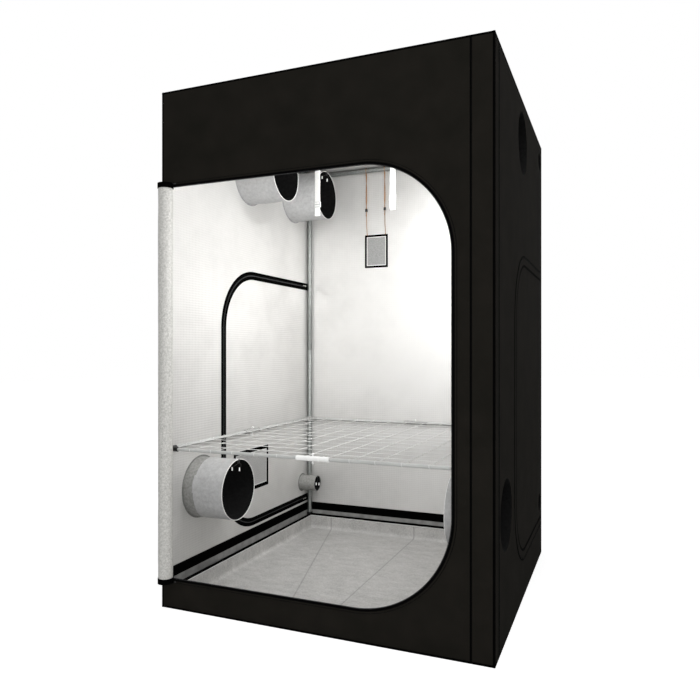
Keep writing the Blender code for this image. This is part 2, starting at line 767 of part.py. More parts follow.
def sliders():
    """Two sliders on each zip, at the ends of its straight runs, where they park."""
    pattern = slider_shape()
    half = SLIDER_WIDTH / 2 + GAP
    outward = Matrix.Rotation(QUARTER, 4, "X")
    front_y = -HALF_DEPTH - SEAM_FACE
    front_middle = FRONT_BORDER / 2 + half
    high, low = DOORWAY_HIGH + front_middle, DOORWAY_LOW - front_middle
    places = [
        ("front_slider_top", Matrix.Translation((FRONT_SLIDER_X, front_y, high)) @ outward),
        ("front_slider_bottom", Matrix.Translation((FRONT_SLIDER_X, front_y, low)) @ outward),
    ]
    forward = Matrix.Rotation(-QUARTER, 4, "Z")
    high, low = SIDE_DOOR_HIGH + half, SIDE_DOOR_LOW - half
    for label, side in (("left", -1), ("right", 1)):
        inward = Matrix.Rotation(-side * QUARTER, 4, "Y") @ forward
        inner_x = side * (INNER_X - SEAM_FACE)
        for end, z in (("top", high), ("bottom", low)):
            place = Matrix.Translation((inner_x, SIDE_SLIDER_Y, z)) @ inward
            places.append((f"{label}_slider_{end}", place))
    for name, place in places:
        item = bpy.data.objects.new(name, pattern.data.copy())
        item.matrix_world = place @ pattern.matrix_world
        as_part(item, zinc_casting())
    bpy.data.objects.remove(pattern, do_unlink=True)


def corner_shape():
    """A three-way connector: a rounded block with a socket along +X, +Y and -Z."""
    half = CORNER_HALF
    block = box("corner", (-half, -half, -half), (half, half, half), CORNER_ROUND)
    directions = (Vector((1, 0, 0)), Vector((0, 1, 0)), Vector((0, 0, -1)))
    arms = [
        rod("arm", way * half / 2, way * CORNER_ARM, SOCKET_RADIUS, TUBE_SIDES)
        for way in directions
    ]
    bores = [
        rod("bore", way * SOCKET_FLOOR, way * (CORNER_ARM + OVERRUN), SOCKET_BORE, TUBE_SIDES)
        for way in directions
    ]
    return carve(block, joins=arms, cuts=bores)


def corners():
    pattern = corner_shape()
    spots = (
        ("front_left", -1, -1, 0),
        ("front_right", 1, -1, 1),
        ("rear_right", 1, 1, 2),
        ("rear_left", -1, 1, 3),
    )
    upside_down = Matrix.Rotation(math.pi, 4, Vector((1, 1, 0)))
    levels = (("top", RAIL_HIGH, Matrix.Identity(4)), ("bottom", RAIL_LOW, upside_down))
    for spot, side, end, quarter in spots:
        turn = Matrix.Rotation(quarter * QUARTER, 4, "Z")
        for level, z, flip in levels:
            item = bpy.data.objects.new(f"corner_{level}_{spot}", pattern.data.copy())
            item.matrix_world = Matrix.Translation((side * POST_X, end * POST_Y, z)) @ turn @ flip
            as_part(item, black_plastic())
    bpy.data.objects.remove(pattern, do_unlink=True)


def frame_tube(name, start, end):
    as_part(tube(name, start, end, TUBE_RADIUS, TUBE_WALL, TUBE_SIDES), galvanised_tube())


def frame_tubes():
    """Four uprights and eight rails, each ending on the floor of its two sockets."""
    for side, across in (("left", -POST_X), ("right", POST_X)):
        for end, back in (("front", -POST_Y), ("rear", POST_Y)):
            low = (across, back, RAIL_LOW + TUBE_END)
            high = (across, back, RAIL_HIGH - TUBE_END)
            frame_tube(f"upright_{end}_{side}", low, high)
    for level, z in (("top", RAIL_HIGH), ("bottom", RAIL_LOW)):
        for end, back in (("front", -POST_Y), ("rear", POST_Y)):
            reach = POST_X - TUBE_END
            frame_tube(f"{level}_rail_{end}", (-reach, back, z), (reach, back, z))
        for side, across in (("left", -POST_X), ("right", POST_X)):
            reach = POST_Y - TUBE_END
            frame_tube(f"{level}_rail_{side}", (across, -reach, z), (across, reach, z))


def slot_cutter(centre, axis, out, width):
    """A bar that opens a clamp ring on one side, from its centre outwards."""
    side = axis.cross(out)
    turn = Matrix((side, axis, out)).transposed().to_4x4()
    reach = SOCKET_RADIUS + OVERRUN
    item = box("slot", (-width / 2, -reach, 0), (width / 2, reach, reach))
    item.matrix_world = Matrix.Translation(centre) @ turn @ item.matrix_world
    return item


def crossbar(name, y):
    """A ceiling bar with a snap-on clamp moulded on each end, round the two side rails."""
    run = Vector((1, 0, 0))
    rail = Vector((0, 1, 0))
    reach = POST_X - SOCKET_BORE - GAP
    bar = rod(name, -run * reach + rail * y, run * reach + rail * y, CROSSBAR_RADIUS, TUBE_SIDES)
    start, end = rail * y - run * POST_X, rail * y + run * POST_X
    joins = []
    cuts = [rod("hollow", start, end, CROSSBAR_RADIUS - TUBE_WALL, TUBE_SIDES)]
    half = rail * CLAMP_WIDTH / 2
    for side in (-1, 1):
        centre = run * side * POST_X + rail * y
        joins.append(rod("ring", centre - half, centre + half, SOCKET_RADIUS, TUBE_SIDES))
        arm_end = centre - run * side * CLAMP_ARM
        arm_start = centre - run * side * SOCKET_BORE
        joins.append(rod("arm", arm_start, arm_end, CROSSBAR_RADIUS + CLAMP_ARM_WALL, TUBE_SIDES))
        cuts.append(rod("bore", centre - 2 * half, centre + 2 * half, SOCKET_BORE, TUBE_SIDES))
        out = Vector((side, 0, 1)).normalized()
        cuts.append(slot_cutter(centre, rail, out, CLAMP_SLOT))
    made = carve(bar, joins=joins, cuts=cuts)
    made.matrix_world = Matrix.Translation((0, 0, RAIL_HIGH)) @ made.matrix_world
    as_part(smooth(made), galvanised_tube())


def net_bar(name, corner, run, other):
    """One side of the net frame: a bar with its coupling, and the clip at its first end.

    The clip's ring goes round the upright at the corner, and its second socket takes the
    end of the bar that comes from the corner before.
    """
    up = Vector((0, 0, 1))
    corner = Vector(corner)
    span = 2 * (POST_X if run.x else POST_Y)
    bar_end = corner + run * (span - NET_CLIP_ARM + NET_SOCKET_DEPTH)
    bar = rod(name, corner + run * NET_CLIP_ARM / 2, bar_end, NET_BAR_RADIUS, BAR_SIDES)
    middle = corner + run * span / 2
    half = NET_COUPLING_LENGTH / 2
    coupling_ends = (middle - run * half, middle + run * half)
    coupling = rod("coupling", *coupling_ends, NET_COUPLING_RADIUS, BAR_SIDES)
    hook_ends = (middle - up * NET_HOOK_LENGTH, middle + up * NET_HOOK_LENGTH)
    hook = rod("hook", *hook_ends, NET_HOOK_RADIUS, HOOK_SIDES)
    tall = up * NET_CLIP_HEIGHT / 2
    ring = rod("ring", corner - tall, corner + tall, SOCKET_RADIUS, TUBE_SIDES)
    arm_radius = NET_BAR_RADIUS + GAP + NET_CLIP_WALL
    arms = [
        rod("arm", corner + way * SOCKET_BORE, corner + way * NET_CLIP_ARM, arm_radius, BAR_SIDES)
        for way in (run, other)
    ]
    bore = rod("bore", corner - 2 * tall, corner + 2 * tall, SOCKET_BORE, TUBE_SIDES)
    floor = corner + other * (NET_CLIP_ARM - NET_SOCKET_DEPTH - GAP)
    mouth = corner + other * (NET_CLIP_ARM + OVERRUN)
    socket = rod("socket", floor, mouth, NET_BAR_RADIUS + GAP, BAR_SIDES)
    out = -(run + other).normalized()
    slot = slot_cutter(corner, up, out, CLAMP_SLOT)
    hollow_start = corner + run * NET_CLIP_ARM
    hollow_end = bar_end + run * OVERRUN
    hollow = rod("hollow", hollow_start, hollow_end, NET_BAR_RADIUS - NET_BAR_WALL, BAR_SIDES)
    made = carve(bar, joins=[coupling, hook, ring, *arms], cuts=[bore, socket, slot, hollow])
    as_part(smooth(made), white_enamel())


def net_frame():
    """Four bars that carry each other round the square, each clipped to one upright."""
    along_x, along_y = Vector((1, 0, 0)), Vector((0, 1, 0))
    z = NET_HEIGHT
    net_bar("net_bar_front", (-POST_X, -POST_Y, z), along_x, along_y)
    net_bar("net_bar_right", (POST_X, -POST_Y, z), along_y, -along_x)
    net_bar("net_bar_rear", (POST_X, POST_Y, z), -along_x, -along_y)
    net_bar("net_bar_left", (-POST_X, POST_Y, z), -along_y, along_x)


def net():
    """The square net, tied inside its frame: a cord border and crossing cords."""
    half_x = POST_X - NET_COUPLING_RADIUS - GAP
    half_y = POST_Y - NET_COUPLING_RADIUS - GAP
    wide = (2 * half_x - NET_CORD * (NET_CELLS + 1)) / NET_CELLS
    tall = (2 * half_y - NET_CORD * (NET_CELLS + 1)) / NET_CELLS
    notch = NET_CLIP_ARM + GAP - (POST_X - half_x)
    edge = [
        (-half_x + notch, -half_y),
        (half_x - notch, -half_y),
        (half_x, -half_y + notch),
        (half_x, half_y - notch),
        (half_x - notch, half_y),
        (-half_x + notch, half_y),
        (-half_x, half_y - notch),
        (-half_x, -half_y + notch),
    ]
    holes = []
    for column in range(NET_CELLS):
        for row in range(NET_CELLS):
            left = -half_x + NET_CORD + column * (wide + NET_CORD)
            low = -half_y + NET_CORD + row * (tall + NET_CORD)
            right, high = left + wide, low + tall
            corner_x = column in (0, NET_CELLS - 1)
            corner_y = row in (0, NET_CELLS - 1)
            if corner_x and corner_y:
                holes.append(corner_cell(left, right, low, high, notch))
            else:
                holes.append(rectangle(left, right, low, high))
    item = outline_curve("net", [edge, *holes], NET_CORD)
    as_part(lies_flat(item, NET_HEIGHT), white_webbing())


def corner_cell(left, right, low, high, notch):
    """A corner opening of the net, cut off along the cord that passes inside the clip."""
    side = 1 if left + right > 0 else -1
    end = 1 if low + high > 0 else -1
    far_x, near_x = (right, left) if side > 0 else (left, right)
    far_y, near_y = (high, low) if end > 0 else (low, high)
    cut = notch - NET_CORD * (math.sqrt(2) - 1)
    return [
        (near_x, near_y),
        (far_x, near_y),
        (far_x, far_y - end * cut),
        (far_x - side * cut, far_y),
        (near_x, far_y),
    ]


def strap_loop(radius, ply, low_radius, fork):
    """A strap seen from its edge: over the bar, together at the fork and round at the foot."""
    top = arc(0, RAIL_HIGH, radius, 0, 180, WRAP_STEPS)
    foot = arc(0, STRAP_LOW + STRAP_PLY_GAP / 2 + STRAP_CLOTH, low_radius, 180, 360, WRAP_STEPS)
    return top + [(-ply, fork)] + foot + [(ply, fork)]


def straps():
    """Two webbing loops over the front ceiling bar, each closed by a sliding buckle."""
    radius = CROSSBAR_RADIUS + GAP
    ply = STRAP_PLY_GAP / 2
    fork = RAIL_HIGH - STRAP_JOIN
    outer = strap_loop(radius + STRAP_CLOTH, ply + STRAP_CLOTH, ply + STRAP_CLOTH, fork)
    inner = strap_loop(radius, ply, ply, fork)
    deep = ply + STRAP_CLOTH + GAP
    wide = STRAP_WIDTH / 2 + GAP
    tall = BUCKLE_HEIGHT / 2
    for label, x in (("left", -STRAP_X), ("right", STRAP_X)):
        strap = faces_x(outline_curve(f"hanging_strap_{label}", [outer, inner], STRAP_WIDTH), x)
        strap.matrix_world = Matrix.Translation((0, -CROSSBAR_OFFSET, 0)) @ strap.matrix_world
        as_part(strap, white_webbing())
        rim = BUCKLE_RIM
        body = box(
            f"strap_buckle_{label}",
            (-wide - rim, -deep - rim, -tall),
            (wide + rim, deep + rim, tall),
            BUCKLE_ROUND,
        )
        slot = box("slot", (-wide, -deep, -tall - OVERRUN), (wide, deep, tall + OVERRUN))
        buckle = carve(body, cuts=[slot])
        buckle.location = (x, -CROSSBAR_OFFSET, BUCKLE_MIDDLE)
        as_part(buckle, white_enamel())


def vent_cord_side(x):
    """One hanging side of the vent's cord, from its window corner up and over the rail."""
    hold = POST_Y + VENT_CORD_PLY / 2 + VENT_CORD_RADIUS
    free = hold - VENT_CORD_PLY
    wrap = TUBE_RADIUS + GAP + VENT_CORD_RADIUS
    wall = INNER_Y - SEAM_FACE - VENT_CORD_RADIUS
    fork = RAIL_HIGH - VENT_CORD_FORK
    over = arc(POST_Y, RAIL_HIGH, wrap, 0, 180, WRAP_STEPS)
    foot = BACK_VENT_HIGH + VENT_CORD_RADIUS
    points = [(wall, foot), (hold, VENT_CORD_BEND), (hold, fork), *over]
    points += [(free, fork), (free, STOP_MIDDLE - VENT_CORD_TAIL)]
    return [(x, y, z) for y, z in points]


def vent_cord():
    """One cord holds up the back vent: both its ends go over the rail and into a stop."""
    points = vent_cord_side(VENT_CORD_LEFT)[::-1] + vent_cord_side(VENT_CORD_RIGHT)
    curve = bpy.data.curves.new("vent_cord", "CURVE")
    curve.dimensions = "3D"
    curve.bevel_depth = VENT_CORD_RADIUS
    curve.bevel_resolution = 2
    curve.use_fill_caps = True
    spline = curve.splines.new("POLY")
    spline.points.add(len(points) - 1)
    for point, place in zip(spline.points, points):
        point.co = (*place, 1)
    as_part(bpy.data.objects.new("vent_cord", curve), orange_cord())
    middle = POST_Y + VENT_CORD_RADIUS
    clear = VENT_CORD_RADIUS + GAP
    deep = VENT_CORD_PLY / 2 + clear
    tall = STOP_HEIGHT / 2
    for label, x in (("left", VENT_CORD_LEFT), ("right", VENT_CORD_RIGHT)):
        body = box(
            f"cord_stop_{label}",
            (-STOP_WIDTH / 2, -deep - STOP_RIM, -tall),
            (STOP_WIDTH / 2, deep + STOP_RIM, tall),
            STOP_ROUND,
        )
        slot = box("slot", (-clear, -deep, -tall - OVERRUN), (clear, deep, tall + OVERRUN))
        stop = carve(body, cuts=[slot])
        stop.location = (x, middle, STOP_MIDDLE)
        as_part(stop, black_plastic())


def floor_tray():
    """The lift-out tray: a thin cloth box with upstands and a thicker hem round its rim."""
    half_x = POST_X - CORNER_HALF - GAP - TRAY_HEM_PROUD
    half_y = POST_Y - CORNER_HALF - GAP - TRAY_HEM_PROUD
    low = CLOTH + GAP
    shape = bmesh.new()
    size = Vector((2 * half_x, 2 * half_y, TRAY_HEIGHT))
    bmesh.ops.create_cube(shape, size=1.0, matrix=Matrix.Diagonal(size).to_4x4())
    top = [face for face in shape.faces if face.normal.z > math.cos(QUARTER / 2)]
    bmesh.ops.delete(shape, geom=top, context="FACES")
    tray = mesh_object("floor_tray", shape)
    tray.location = (0, 0, low + TRAY_HEIGHT / 2)
    wall = tray.modifiers.new("Tray cloth", "SOLIDIFY")
    wall.thickness = TRAY_CLOTH
    wall.offset = -1
    outer = (half_x + TRAY_HEM_PROUD, half_y + TRAY_HEM_PROUD)
    inner = (half_x - TRAY_CLOTH / 2, half_y - TRAY_CLOTH / 2)
    rings = [rectangle(-x, x, -y, y) for x, y in (outer, inner)]
    top_edge = low + TRAY_HEIGHT + TRAY_HEM_PROUD
    hem = lies_flat(outline_curve("tray hem", rings, TRAY_HEM), top_edge - TRAY_HEM / 2)
    as_part(carve(tray, joins=[closed_mesh(hem)]), grey_tray_cloth())


def main():
    clear_scene()
    cover()
    sliders()
    corners()
    frame_tubes()
    crossbar("crossbar_front", -CROSSBAR_OFFSET)
    crossbar("crossbar_rear", CROSSBAR_OFFSET)
    net_frame()
    net()
    straps()
    vent_cord()
    floor_tray()


main()
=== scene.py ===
"""Looks of an indoor grow tent: black cloth over a tube frame, with a silver lining inside.

X runs to the right, Y to the rear and Z up, in metres, as in the part. Work on a wall is drawn
flat, across in X and up in Y with the outside upwards, and is then stood up on its wall.
"""
import math

import bmesh
import bpy
from mathutils import Matrix, Vector, noise


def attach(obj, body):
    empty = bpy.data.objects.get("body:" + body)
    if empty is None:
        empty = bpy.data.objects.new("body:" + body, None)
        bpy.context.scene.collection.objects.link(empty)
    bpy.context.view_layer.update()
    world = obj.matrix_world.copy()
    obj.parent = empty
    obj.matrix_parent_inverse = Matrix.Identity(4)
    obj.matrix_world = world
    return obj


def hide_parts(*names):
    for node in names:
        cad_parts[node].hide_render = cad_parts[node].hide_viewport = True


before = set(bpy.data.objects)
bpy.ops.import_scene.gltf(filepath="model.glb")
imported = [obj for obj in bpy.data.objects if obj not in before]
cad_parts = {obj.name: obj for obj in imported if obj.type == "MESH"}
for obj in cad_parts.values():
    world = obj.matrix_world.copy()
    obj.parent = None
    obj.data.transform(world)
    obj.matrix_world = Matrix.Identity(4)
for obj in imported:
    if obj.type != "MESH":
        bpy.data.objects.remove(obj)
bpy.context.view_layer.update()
bpy.ops.object.select_all(action="DESELECT")

# Sizes shared with the part
WIDTH, DEPTH, HEIGHT = 1.510, 1.510, 2.350
HALF_X, HALF_Y = WIDTH / 2, DEPTH / 2
CLOTH, PROUD = 0.001, 0.0008  # the cover's cloth, and how far tapes stand out of it
INNER = HALF_X - CLOTH
TUBE, SOCKET, CORNER = 0.015, 0.0178, 0.0185
BORE = TUBE + 0.0003
POST = 0.7352
RAIL_LOW, RAIL_HIGH = 0.0198, 2.3302
BAR_Y, BAR_RADIUS = 0.280, 0.011
NET_Z = 0.7215
FRONT_DOOR = {"sewn": -0.735, "free": 0.591, "low": 0.140, "high": 1.911, "bottom": 0.400, "top": 0.370}
SIDE_DOOR = {"sewn": 0.744, "free": -0.257, "low": 0.200, "high": 1.598, "bottom": 0.307, "top": 0.307}
FRONT_BORDER, SIDE_TAPE = 0.022, 0.023
SIDE_VENT = (-0.160, 0.213, 0.379, 0.617)
BACK_VENT = (-0.347, -0.190, 1.707, 1.919)
CABLE_Y, CABLE_LOW, CABLE_HIGH = 0.660, 0.309, 2.248
DUCTS = (
    ("duct_sleeve_left_low", -1, -0.457, 0.496, 0.145, 0.220),
    ("duct_sleeve_left_front", -1, 0.002, 2.146, 0.145, 0.235),
    ("duct_sleeve_left_rear", -1, 0.535, 2.146, 0.145, 0.235),
    ("duct_sleeve_right_low", 1, -0.500, 0.507, 0.145, 0.220),
    ("duct_sleeve_right_high", 1, -0.020, 2.148, 0.145, 0.220),
)
CABLES = (
    ("cable_sleeve_left", -1, CABLE_LOW, "left_door"),
    ("cable_sleeve_right_low", 1, CABLE_LOW, "right_door"),
    ("cable_sleeve_right_high", 1, CABLE_HIGH, "cover_and_frame"),
)
TRAY_FOLDS = ((-0.005, 0.0), (-0.37, -0.278))  # each crease: x at the middle, and its lean with y
COVER = "cover_and_frame"
X, Y, Z = Vector((1, 0, 0)), Vector((0, 1, 0)), Vector((0, 0, 1))

# Where each wall's flat drawing goes: its across, up and outward directions, and how far out
WALLS = {
    "front": (X, Z, -Y, HALF_Y),
    "back": (-X, Z, Y, HALF_Y),
    "right": (Y, Z, X, HALF_X),
    "left": (-Y, Z, -X, HALF_X),
    "roof": (X, Y, Z, HEIGHT),
    "base": (X, -Y, -Z, 0.0),
}

# ---------------------------------------------------------------- finishes

def colour(code):
    """An sRGB hex value as the linear colour that the nodes take."""
    parts = [int(code[i:i + 2], 16) / 255 for i in (1, 3, 5)]
    line = [c / 12.92 if c <= 0.04045 else ((c + 0.055) / 1.055) ** 2.4 for c in parts]
    return (*line, 1.0)

def add(tree, kind, feeds=None, **settings):
    """A node with its settings, and a value or another node's socket on each of its inputs."""
    made = tree.nodes.new("ShaderNode" + kind)
    for key, value in settings.items():
        setattr(made, key, value)
    for socket, value in (feeds or {}).items():
        if isinstance(value, bpy.types.NodeSocket):
            tree.links.new(value, made.inputs[socket])
        else:
            made.inputs[socket].default_value = value
    return made

def pattern(tree, place, drawn):
    """A height over the surface: threads, from their spacing in metres, the ways they run and
    their waver, or a spangle or cloud from its values. One that is made already stays as it is."""
    if isinstance(drawn, bpy.types.NodeSocket):
        return drawn
    if isinstance(drawn, dict):
        kind, output = ("TexVoronoi", "Distance") if "Randomness" in drawn else ("TexNoise", "Fac")
        return add(tree, kind, {"Vector": place, **drawn}).outputs[output]
    spacing, ways, waver = drawn
    feeds = {"Vector": place, "Scale": math.pi / 10 / spacing, "Distortion": waver}
    total = None
    for way in ways:
        bands = add(tree, "TexWave", feeds, bands_direction=way).outputs["Fac"]
        total = bands if total is None else add(tree, "Math", {0: total, 1: bands}).outputs[0]
    return total

def begin(name, code, roughness, **sockets):
    """A new finish: its node tree, its shader and the place that its patterns read."""
    made = bpy.data.materials.new(name)
    made.use_nodes = True
    tree = made.node_tree
    shader = tree.nodes["Principled BSDF"]
    shader.inputs["Base Color"].default_value = colour(code)
    shader.inputs["Roughness"].default_value = roughness
    for socket, value in sockets.items():
        shader.inputs[socket.replace("_", " ")].default_value = value
    return made, tree, shader, add(tree, "TexCoord").outputs["Object"]

def complete(begun, tints, drawn, span=None, relief=None, gloss=None):
    """Two tints mixed by a pattern, the relief, with its depth and strength, and the gloss. Where
    the relief or the gloss names no pattern of its own, it follows the tints' one."""
    made, tree, shader, place = begun
    main = factor = pattern(tree, place, drawn)
    if span:
        factor = add(tree, "MapRange", {0: main, 1: span[0], 2: span[1]}).outputs[0]
    mix = add(tree, "Mix", {0: factor, 6: colour(tints[0]), 7: colour(tints[1])}, data_type="RGBA")
    tree.links.new(mix.outputs[2], shader.inputs["Base Color"])
    if relief:
        own, depth, strength = relief
        bump = add(tree, "Bump", {"Height": pattern(tree, place, own or main), "Distance": depth,
                                  "Strength": strength})
        tree.links.new(bump.outputs[0], shader.inputs["Normal"])
    if gloss:
        own, *limits = gloss
        worn = add(tree, "MapRange", {0: pattern(tree, place, own or main), **dict(enumerate(limits, 1))})
        tree.links.new(worn.outputs[0], shader.inputs["Roughness"])
    return made

def paint_shade(begun, factor, code):
    """Painted shade: a third, darker tint over a finish, where a pattern says."""
    _, tree, shader, _ = begun
    base = shader.inputs["Base Color"]
    dark = add(tree, "Mix", {0: factor, 6: base.links[0].from_socket, 7: colour(code)}, data_type="RGBA")
    tree.links.new(dark.outputs[2], base)

def silver_lining():
    # Polyester cloth with a vapour-coated, embossed silver film: half metal, half lacquer, so it glows near a
    # lamp and greys away from it, with a 12 mm square emboss, painted shade along the emboss's grid lines, and
    # handling marks.
    begun = begin("embossed silver lining", "#d6d5d3", 0.42, Metallic=0.5, Specular_IOR_Level=0.45)
    _, tree, _, place = begun
    grid = pattern(tree, place, (0.012, "XYZ", 0.0))
    fine = pattern(tree, place, {"Scale": 130.0, "Detail": 2.0})
    marks = pattern(tree, place, {"Scale": 3.2, "Detail": 5.0, "Roughness": 0.62})
    height = add(tree, "Math", {0: fine, 1: 0.5, 2: grid}, operation="MULTIPLY_ADD").outputs[0]
    made = complete(begun, ("#d9d8d6", "#cecdcb"), marks, (0.42, 0.72), (height, 0.0006, 0.6),
                    (marks, 0.3, 0.7, 0.36, 0.52))
    # Painted shade: the emboss's grid lines drawn darker, as its grooves would be shaded.
    lines = add(tree, "MapRange", {0: grid, 1: 0.2, 2: 1.1, 3: 0.35, 4: 0.0})
    paint_shade(begun, lines.outputs[0], "#b0afad")
    return made

def tray_cloth():
    # Polyethylene-coated grey cloth of the spill tray: a fine grain, mottled by folding, with painted shade
    # along the crease where each fold was.
    begun = begin("coated grey tray cloth", "#a6a6a4", 0.5, Specular_IOR_Level=0.3)
    _, tree, _, place = begun
    slanted = add(tree, "Mapping", {"Vector": place, "Rotation": (0, 0, math.radians(35)),
                                    "Scale": (1.0, 2.2, 1.0)}).outputs[0]
    mottle = pattern(tree, slanted, {"Scale": 9.0, "Detail": 9.0, "Roughness": 0.72})
    grain = pattern(tree, place, {"Scale": 170.0, "Detail": 3.0})
    both = add(tree, "Math", {0: mottle, 1: grain}).outputs[0]
    made = complete(begun, ("#9b9a98", "#bdbcba"), both, (0.75, 1.25), (grain, 0.0004, 0.5))
    axes = add(tree, "SeparateXYZ", {0: place}).outputs
    # Painted shade: a dark line along each fold's crease, where shade would fall.
    marks = None
    for at, lean in TRAY_FOLDS:
        crease = add(tree, "Math", {0: axes["Y"], 1: lean, 2: at}, operation="MULTIPLY_ADD").outputs[0]
        shift = add(tree, "Math", {0: axes["X"], 1: crease}, operation="SUBTRACT").outputs[0]
        away = add(tree, "Math", {0: shift}, operation="ABSOLUTE").outputs[0]
        line = add(tree, "MapRange", {0: away, 1: 0.001, 2: 0.006, 3: 0.55, 4: 0.0}).outputs[0]
        marks = line if marks is None else add(tree, "Math", {0: marks, 1: line}).outputs[0]
    paint_shade(begun, marks, "#767573")
    return made

LINING = silver_lining()
TRAY = tray_cloth()
CLOTH_WEAVE = (0.003, "XYZ", 0.0)
# Oxford cloth of solution-dyed black polyester, 600 denier, plain woven. It gives a flat,
# nearly shineless black. The 0.9 mm threads are drawn at 3 mm so that they show close up.
OXFORD = complete(begin("black Oxford cloth", "#1b1a17", 0.86, Specular_IOR_Level=0.012),
                  ("#191815", "#1e1c19"), {"Scale": 9.0, "Detail": 4.0}, (0.3, 0.7),
                  (CLOTH_WEAVE, 0.00012, 0.5))
# The lining's film on the rolled door, creased by rolling, so its silver reads as mottled grey.
ROLLED = complete(begin("creased silver lining", "#b9b9b4", 0.45), ("#a3a29e", "#c9c8c4"),
                  {"Scale": 130.0, "Detail": 6.0, "Roughness": 0.7, "Distortion": 0.6}, (0.38, 0.62),
                  (None, 0.0012, 0.7))
# Light nylon with a thin silver coat, gathered and creased, so grey and mottled.
SLEEVE = complete(begin("silver-coated nylon", "#a9a9a9", 0.55, Specular_IOR_Level=0.35),
                  ("#9d9d9d", "#b6b6b6"), {"Scale": 60.0, "Detail": 7.0, "Roughness": 0.72}, (0.30, 0.70),
                  ({"Scale": 150.0, "Detail": 4.0, "Distortion": 0.5}, 0.0007, 0.6))
# A darker grey copy of the sleeve cloth. On the cable sleeves it is painted shade; it also gives a darker band
# at the root of the left low sleeve, and the back vent flap's inner face.
DARKER_GREY_NYLON = complete(begin("darker grey nylon", "#858582", 0.7), ("#7d7d7a", "#92928f"),
                  {"Scale": 90.0, "Detail": 4.0}, (0.35, 0.65), (CLOTH_WEAVE, 0.0002, 0.6))
# Light-tight black nylon inside the sleeves: it swallows light, with a slight sheen.
DARK = complete(begin("black nylon", "#0a0a0a", 0.8, Specular_IOR_Level=0.1), ("#060606", "#0f0f0f"),
                {"Scale": 70.0, "Detail": 4.0}, (0.35, 0.65), (None, 0.001, 0.5))
# Woven polyester zip tape and binding: a deeper black than the cloth, ribbed at 1.5 mm.
TAPE = complete(begin("black woven tape", "#040404", 0.85, Specular_IOR_Level=0.005),
                ("#020202", "#060606"), {"Scale": 300.0, "Detail": 2.0}, (0.3, 0.7),
                ((0.0015, "XYZ", 0.0), 0.0001, 0.6))
# Nylon coil teeth, moulded black, smoother and a little brighter than the tape.
COIL = complete(begin("black nylon coil", "#111111", 0.6), ("#0c0c0c", "#161616"), {"Scale": 400.0})
# Bonded black polyester sewing thread, nearly as dark as the tape that it holds.
THREAD = complete(begin("black sewing thread", "#0d0d0c", 0.6, Specular_IOR_Level=0.1),
                  ("#080808", "#151514"), {"Scale": 900.0})
# Continuously galvanised steel tube: satin grey with a soft spangle about 8 mm across.
STEEL = complete(begin("galvanised steel", "#8a8d8b", 0.5, Metallic=1.0), ("#828583", "#9b9e9c"),
                 {"Scale": 120.0, "Randomness": 1.0},
                 gloss=({"Scale": 45.0, "Detail": 3.0}, 0.3, 0.7, 0.44, 0.58))
# Moulded black polypropylene with a fine spark-eroded grain: matt, soft highlights.
PLASTIC = complete(begin("black polypropylene", "#151515", 0.5), ("#121212", "#1b1b1b"),
                   {"Scale": 700.0, "Detail": 2.0}, relief=(None, 0.0001, 0.5))
# The same moulding in white, for the net's hooks and front coupling: bright, with a soft gloss.
PALE_PLASTIC = complete(begin("white polypropylene", "#e9e9e7", 0.42), ("#e2e2e0", "#efefee"),
                        {"Scale": 500.0, "Detail": 2.0}, relief=(None, 0.0001, 0.4))
# The same moulding in mid grey, on the other clips and couplings.
GREY_PLASTIC = complete(begin("grey polypropylene", "#9b9b99", 0.5), ("#929290", "#a5a5a3"),
                        {"Scale": 500.0, "Detail": 2.0}, relief=(None, 0.0001, 0.4))
# Stove-enamelled pale grey on thin steel tube: a clean half gloss with a little orange peel.
ENAMEL = complete(begin("pale grey enamel", "#adaeac", 0.32), ("#b3b4b2", "#a6a7a5"),
                  {"Scale": 14.0, "Detail": 4.0}, (0.35, 0.7),
                  ({"Scale": 260.0, "Detail": 2.0}, 0.0001, 0.4))
# Woven white polyester webbing, ribbed across at 1.6 mm: matt and clean.
WEBBING = complete(begin("white woven webbing", "#f0f0ee", 0.75), ("#d2d2cf", "#eaeae8"),
                   (0.0016, "XZ", 0.0), (0.0, 2.0), (None, 0.0002, 0.8))
# Knotted white polyester twine, three strands laid together, drawn 4 mm apart so that they show.
TWINE = complete(begin("white polyester twine", "#d6d6d4", 0.7), ("#c6c6c4", "#dededc"),
                 (0.004, ("DIAGONAL",), 1.0), relief=(None, 0.0003, 0.7))
# Braided polypropylene cord in orange brown, its 1.5 mm strands drawn 2.5 mm apart to show.
BRAID = (0.0025, ("DIAGONAL",), 1.5)
ORANGE = complete(begin("orange braided cord", "#a0713d", 0.78), ("#8c6233", "#b07e48"), BRAID,
                  relief=(None, 0.0003, 0.8))
# Thin braided black cord of the sleeves' drawstrings.
BLACK_CORD = complete(begin("black braided cord", "#141414", 0.75), ("#0f0f0f", "#202020"), BRAID,
                      relief=(None, 0.0003, 0.8))
# The plain grey cloth low on the walls, behind the tray.
SKIRT = complete(begin("grey skirt cloth", "#8a8a88", 0.6), ("#7d7d7b", "#969694"),
                 {"Scale": 20.0, "Detail": 5.0}, (0.35, 0.65), (CLOTH_WEAVE, 0.0002, 0.5))
# Coated glass-fibre insect mesh, light grey.
MESH = complete(begin("grey mesh thread", "#a9a9a9", 0.6), ("#9c9c9c", "#b8b8b8"), {"Scale": 200.0})
# Die-cast zinc with a nickel flash: bright satin metal, rubbed at its edges.
ZINC = complete(begin("nickel-plated zinc", "#c9c7c2", 0.3, Metallic=1.0), ("#b9b7b2", "#d8d6d1"),
                {"Scale": 160.0, "Detail": 4.0}, gloss=(None, 0.3, 0.7, 0.22, 0.42))
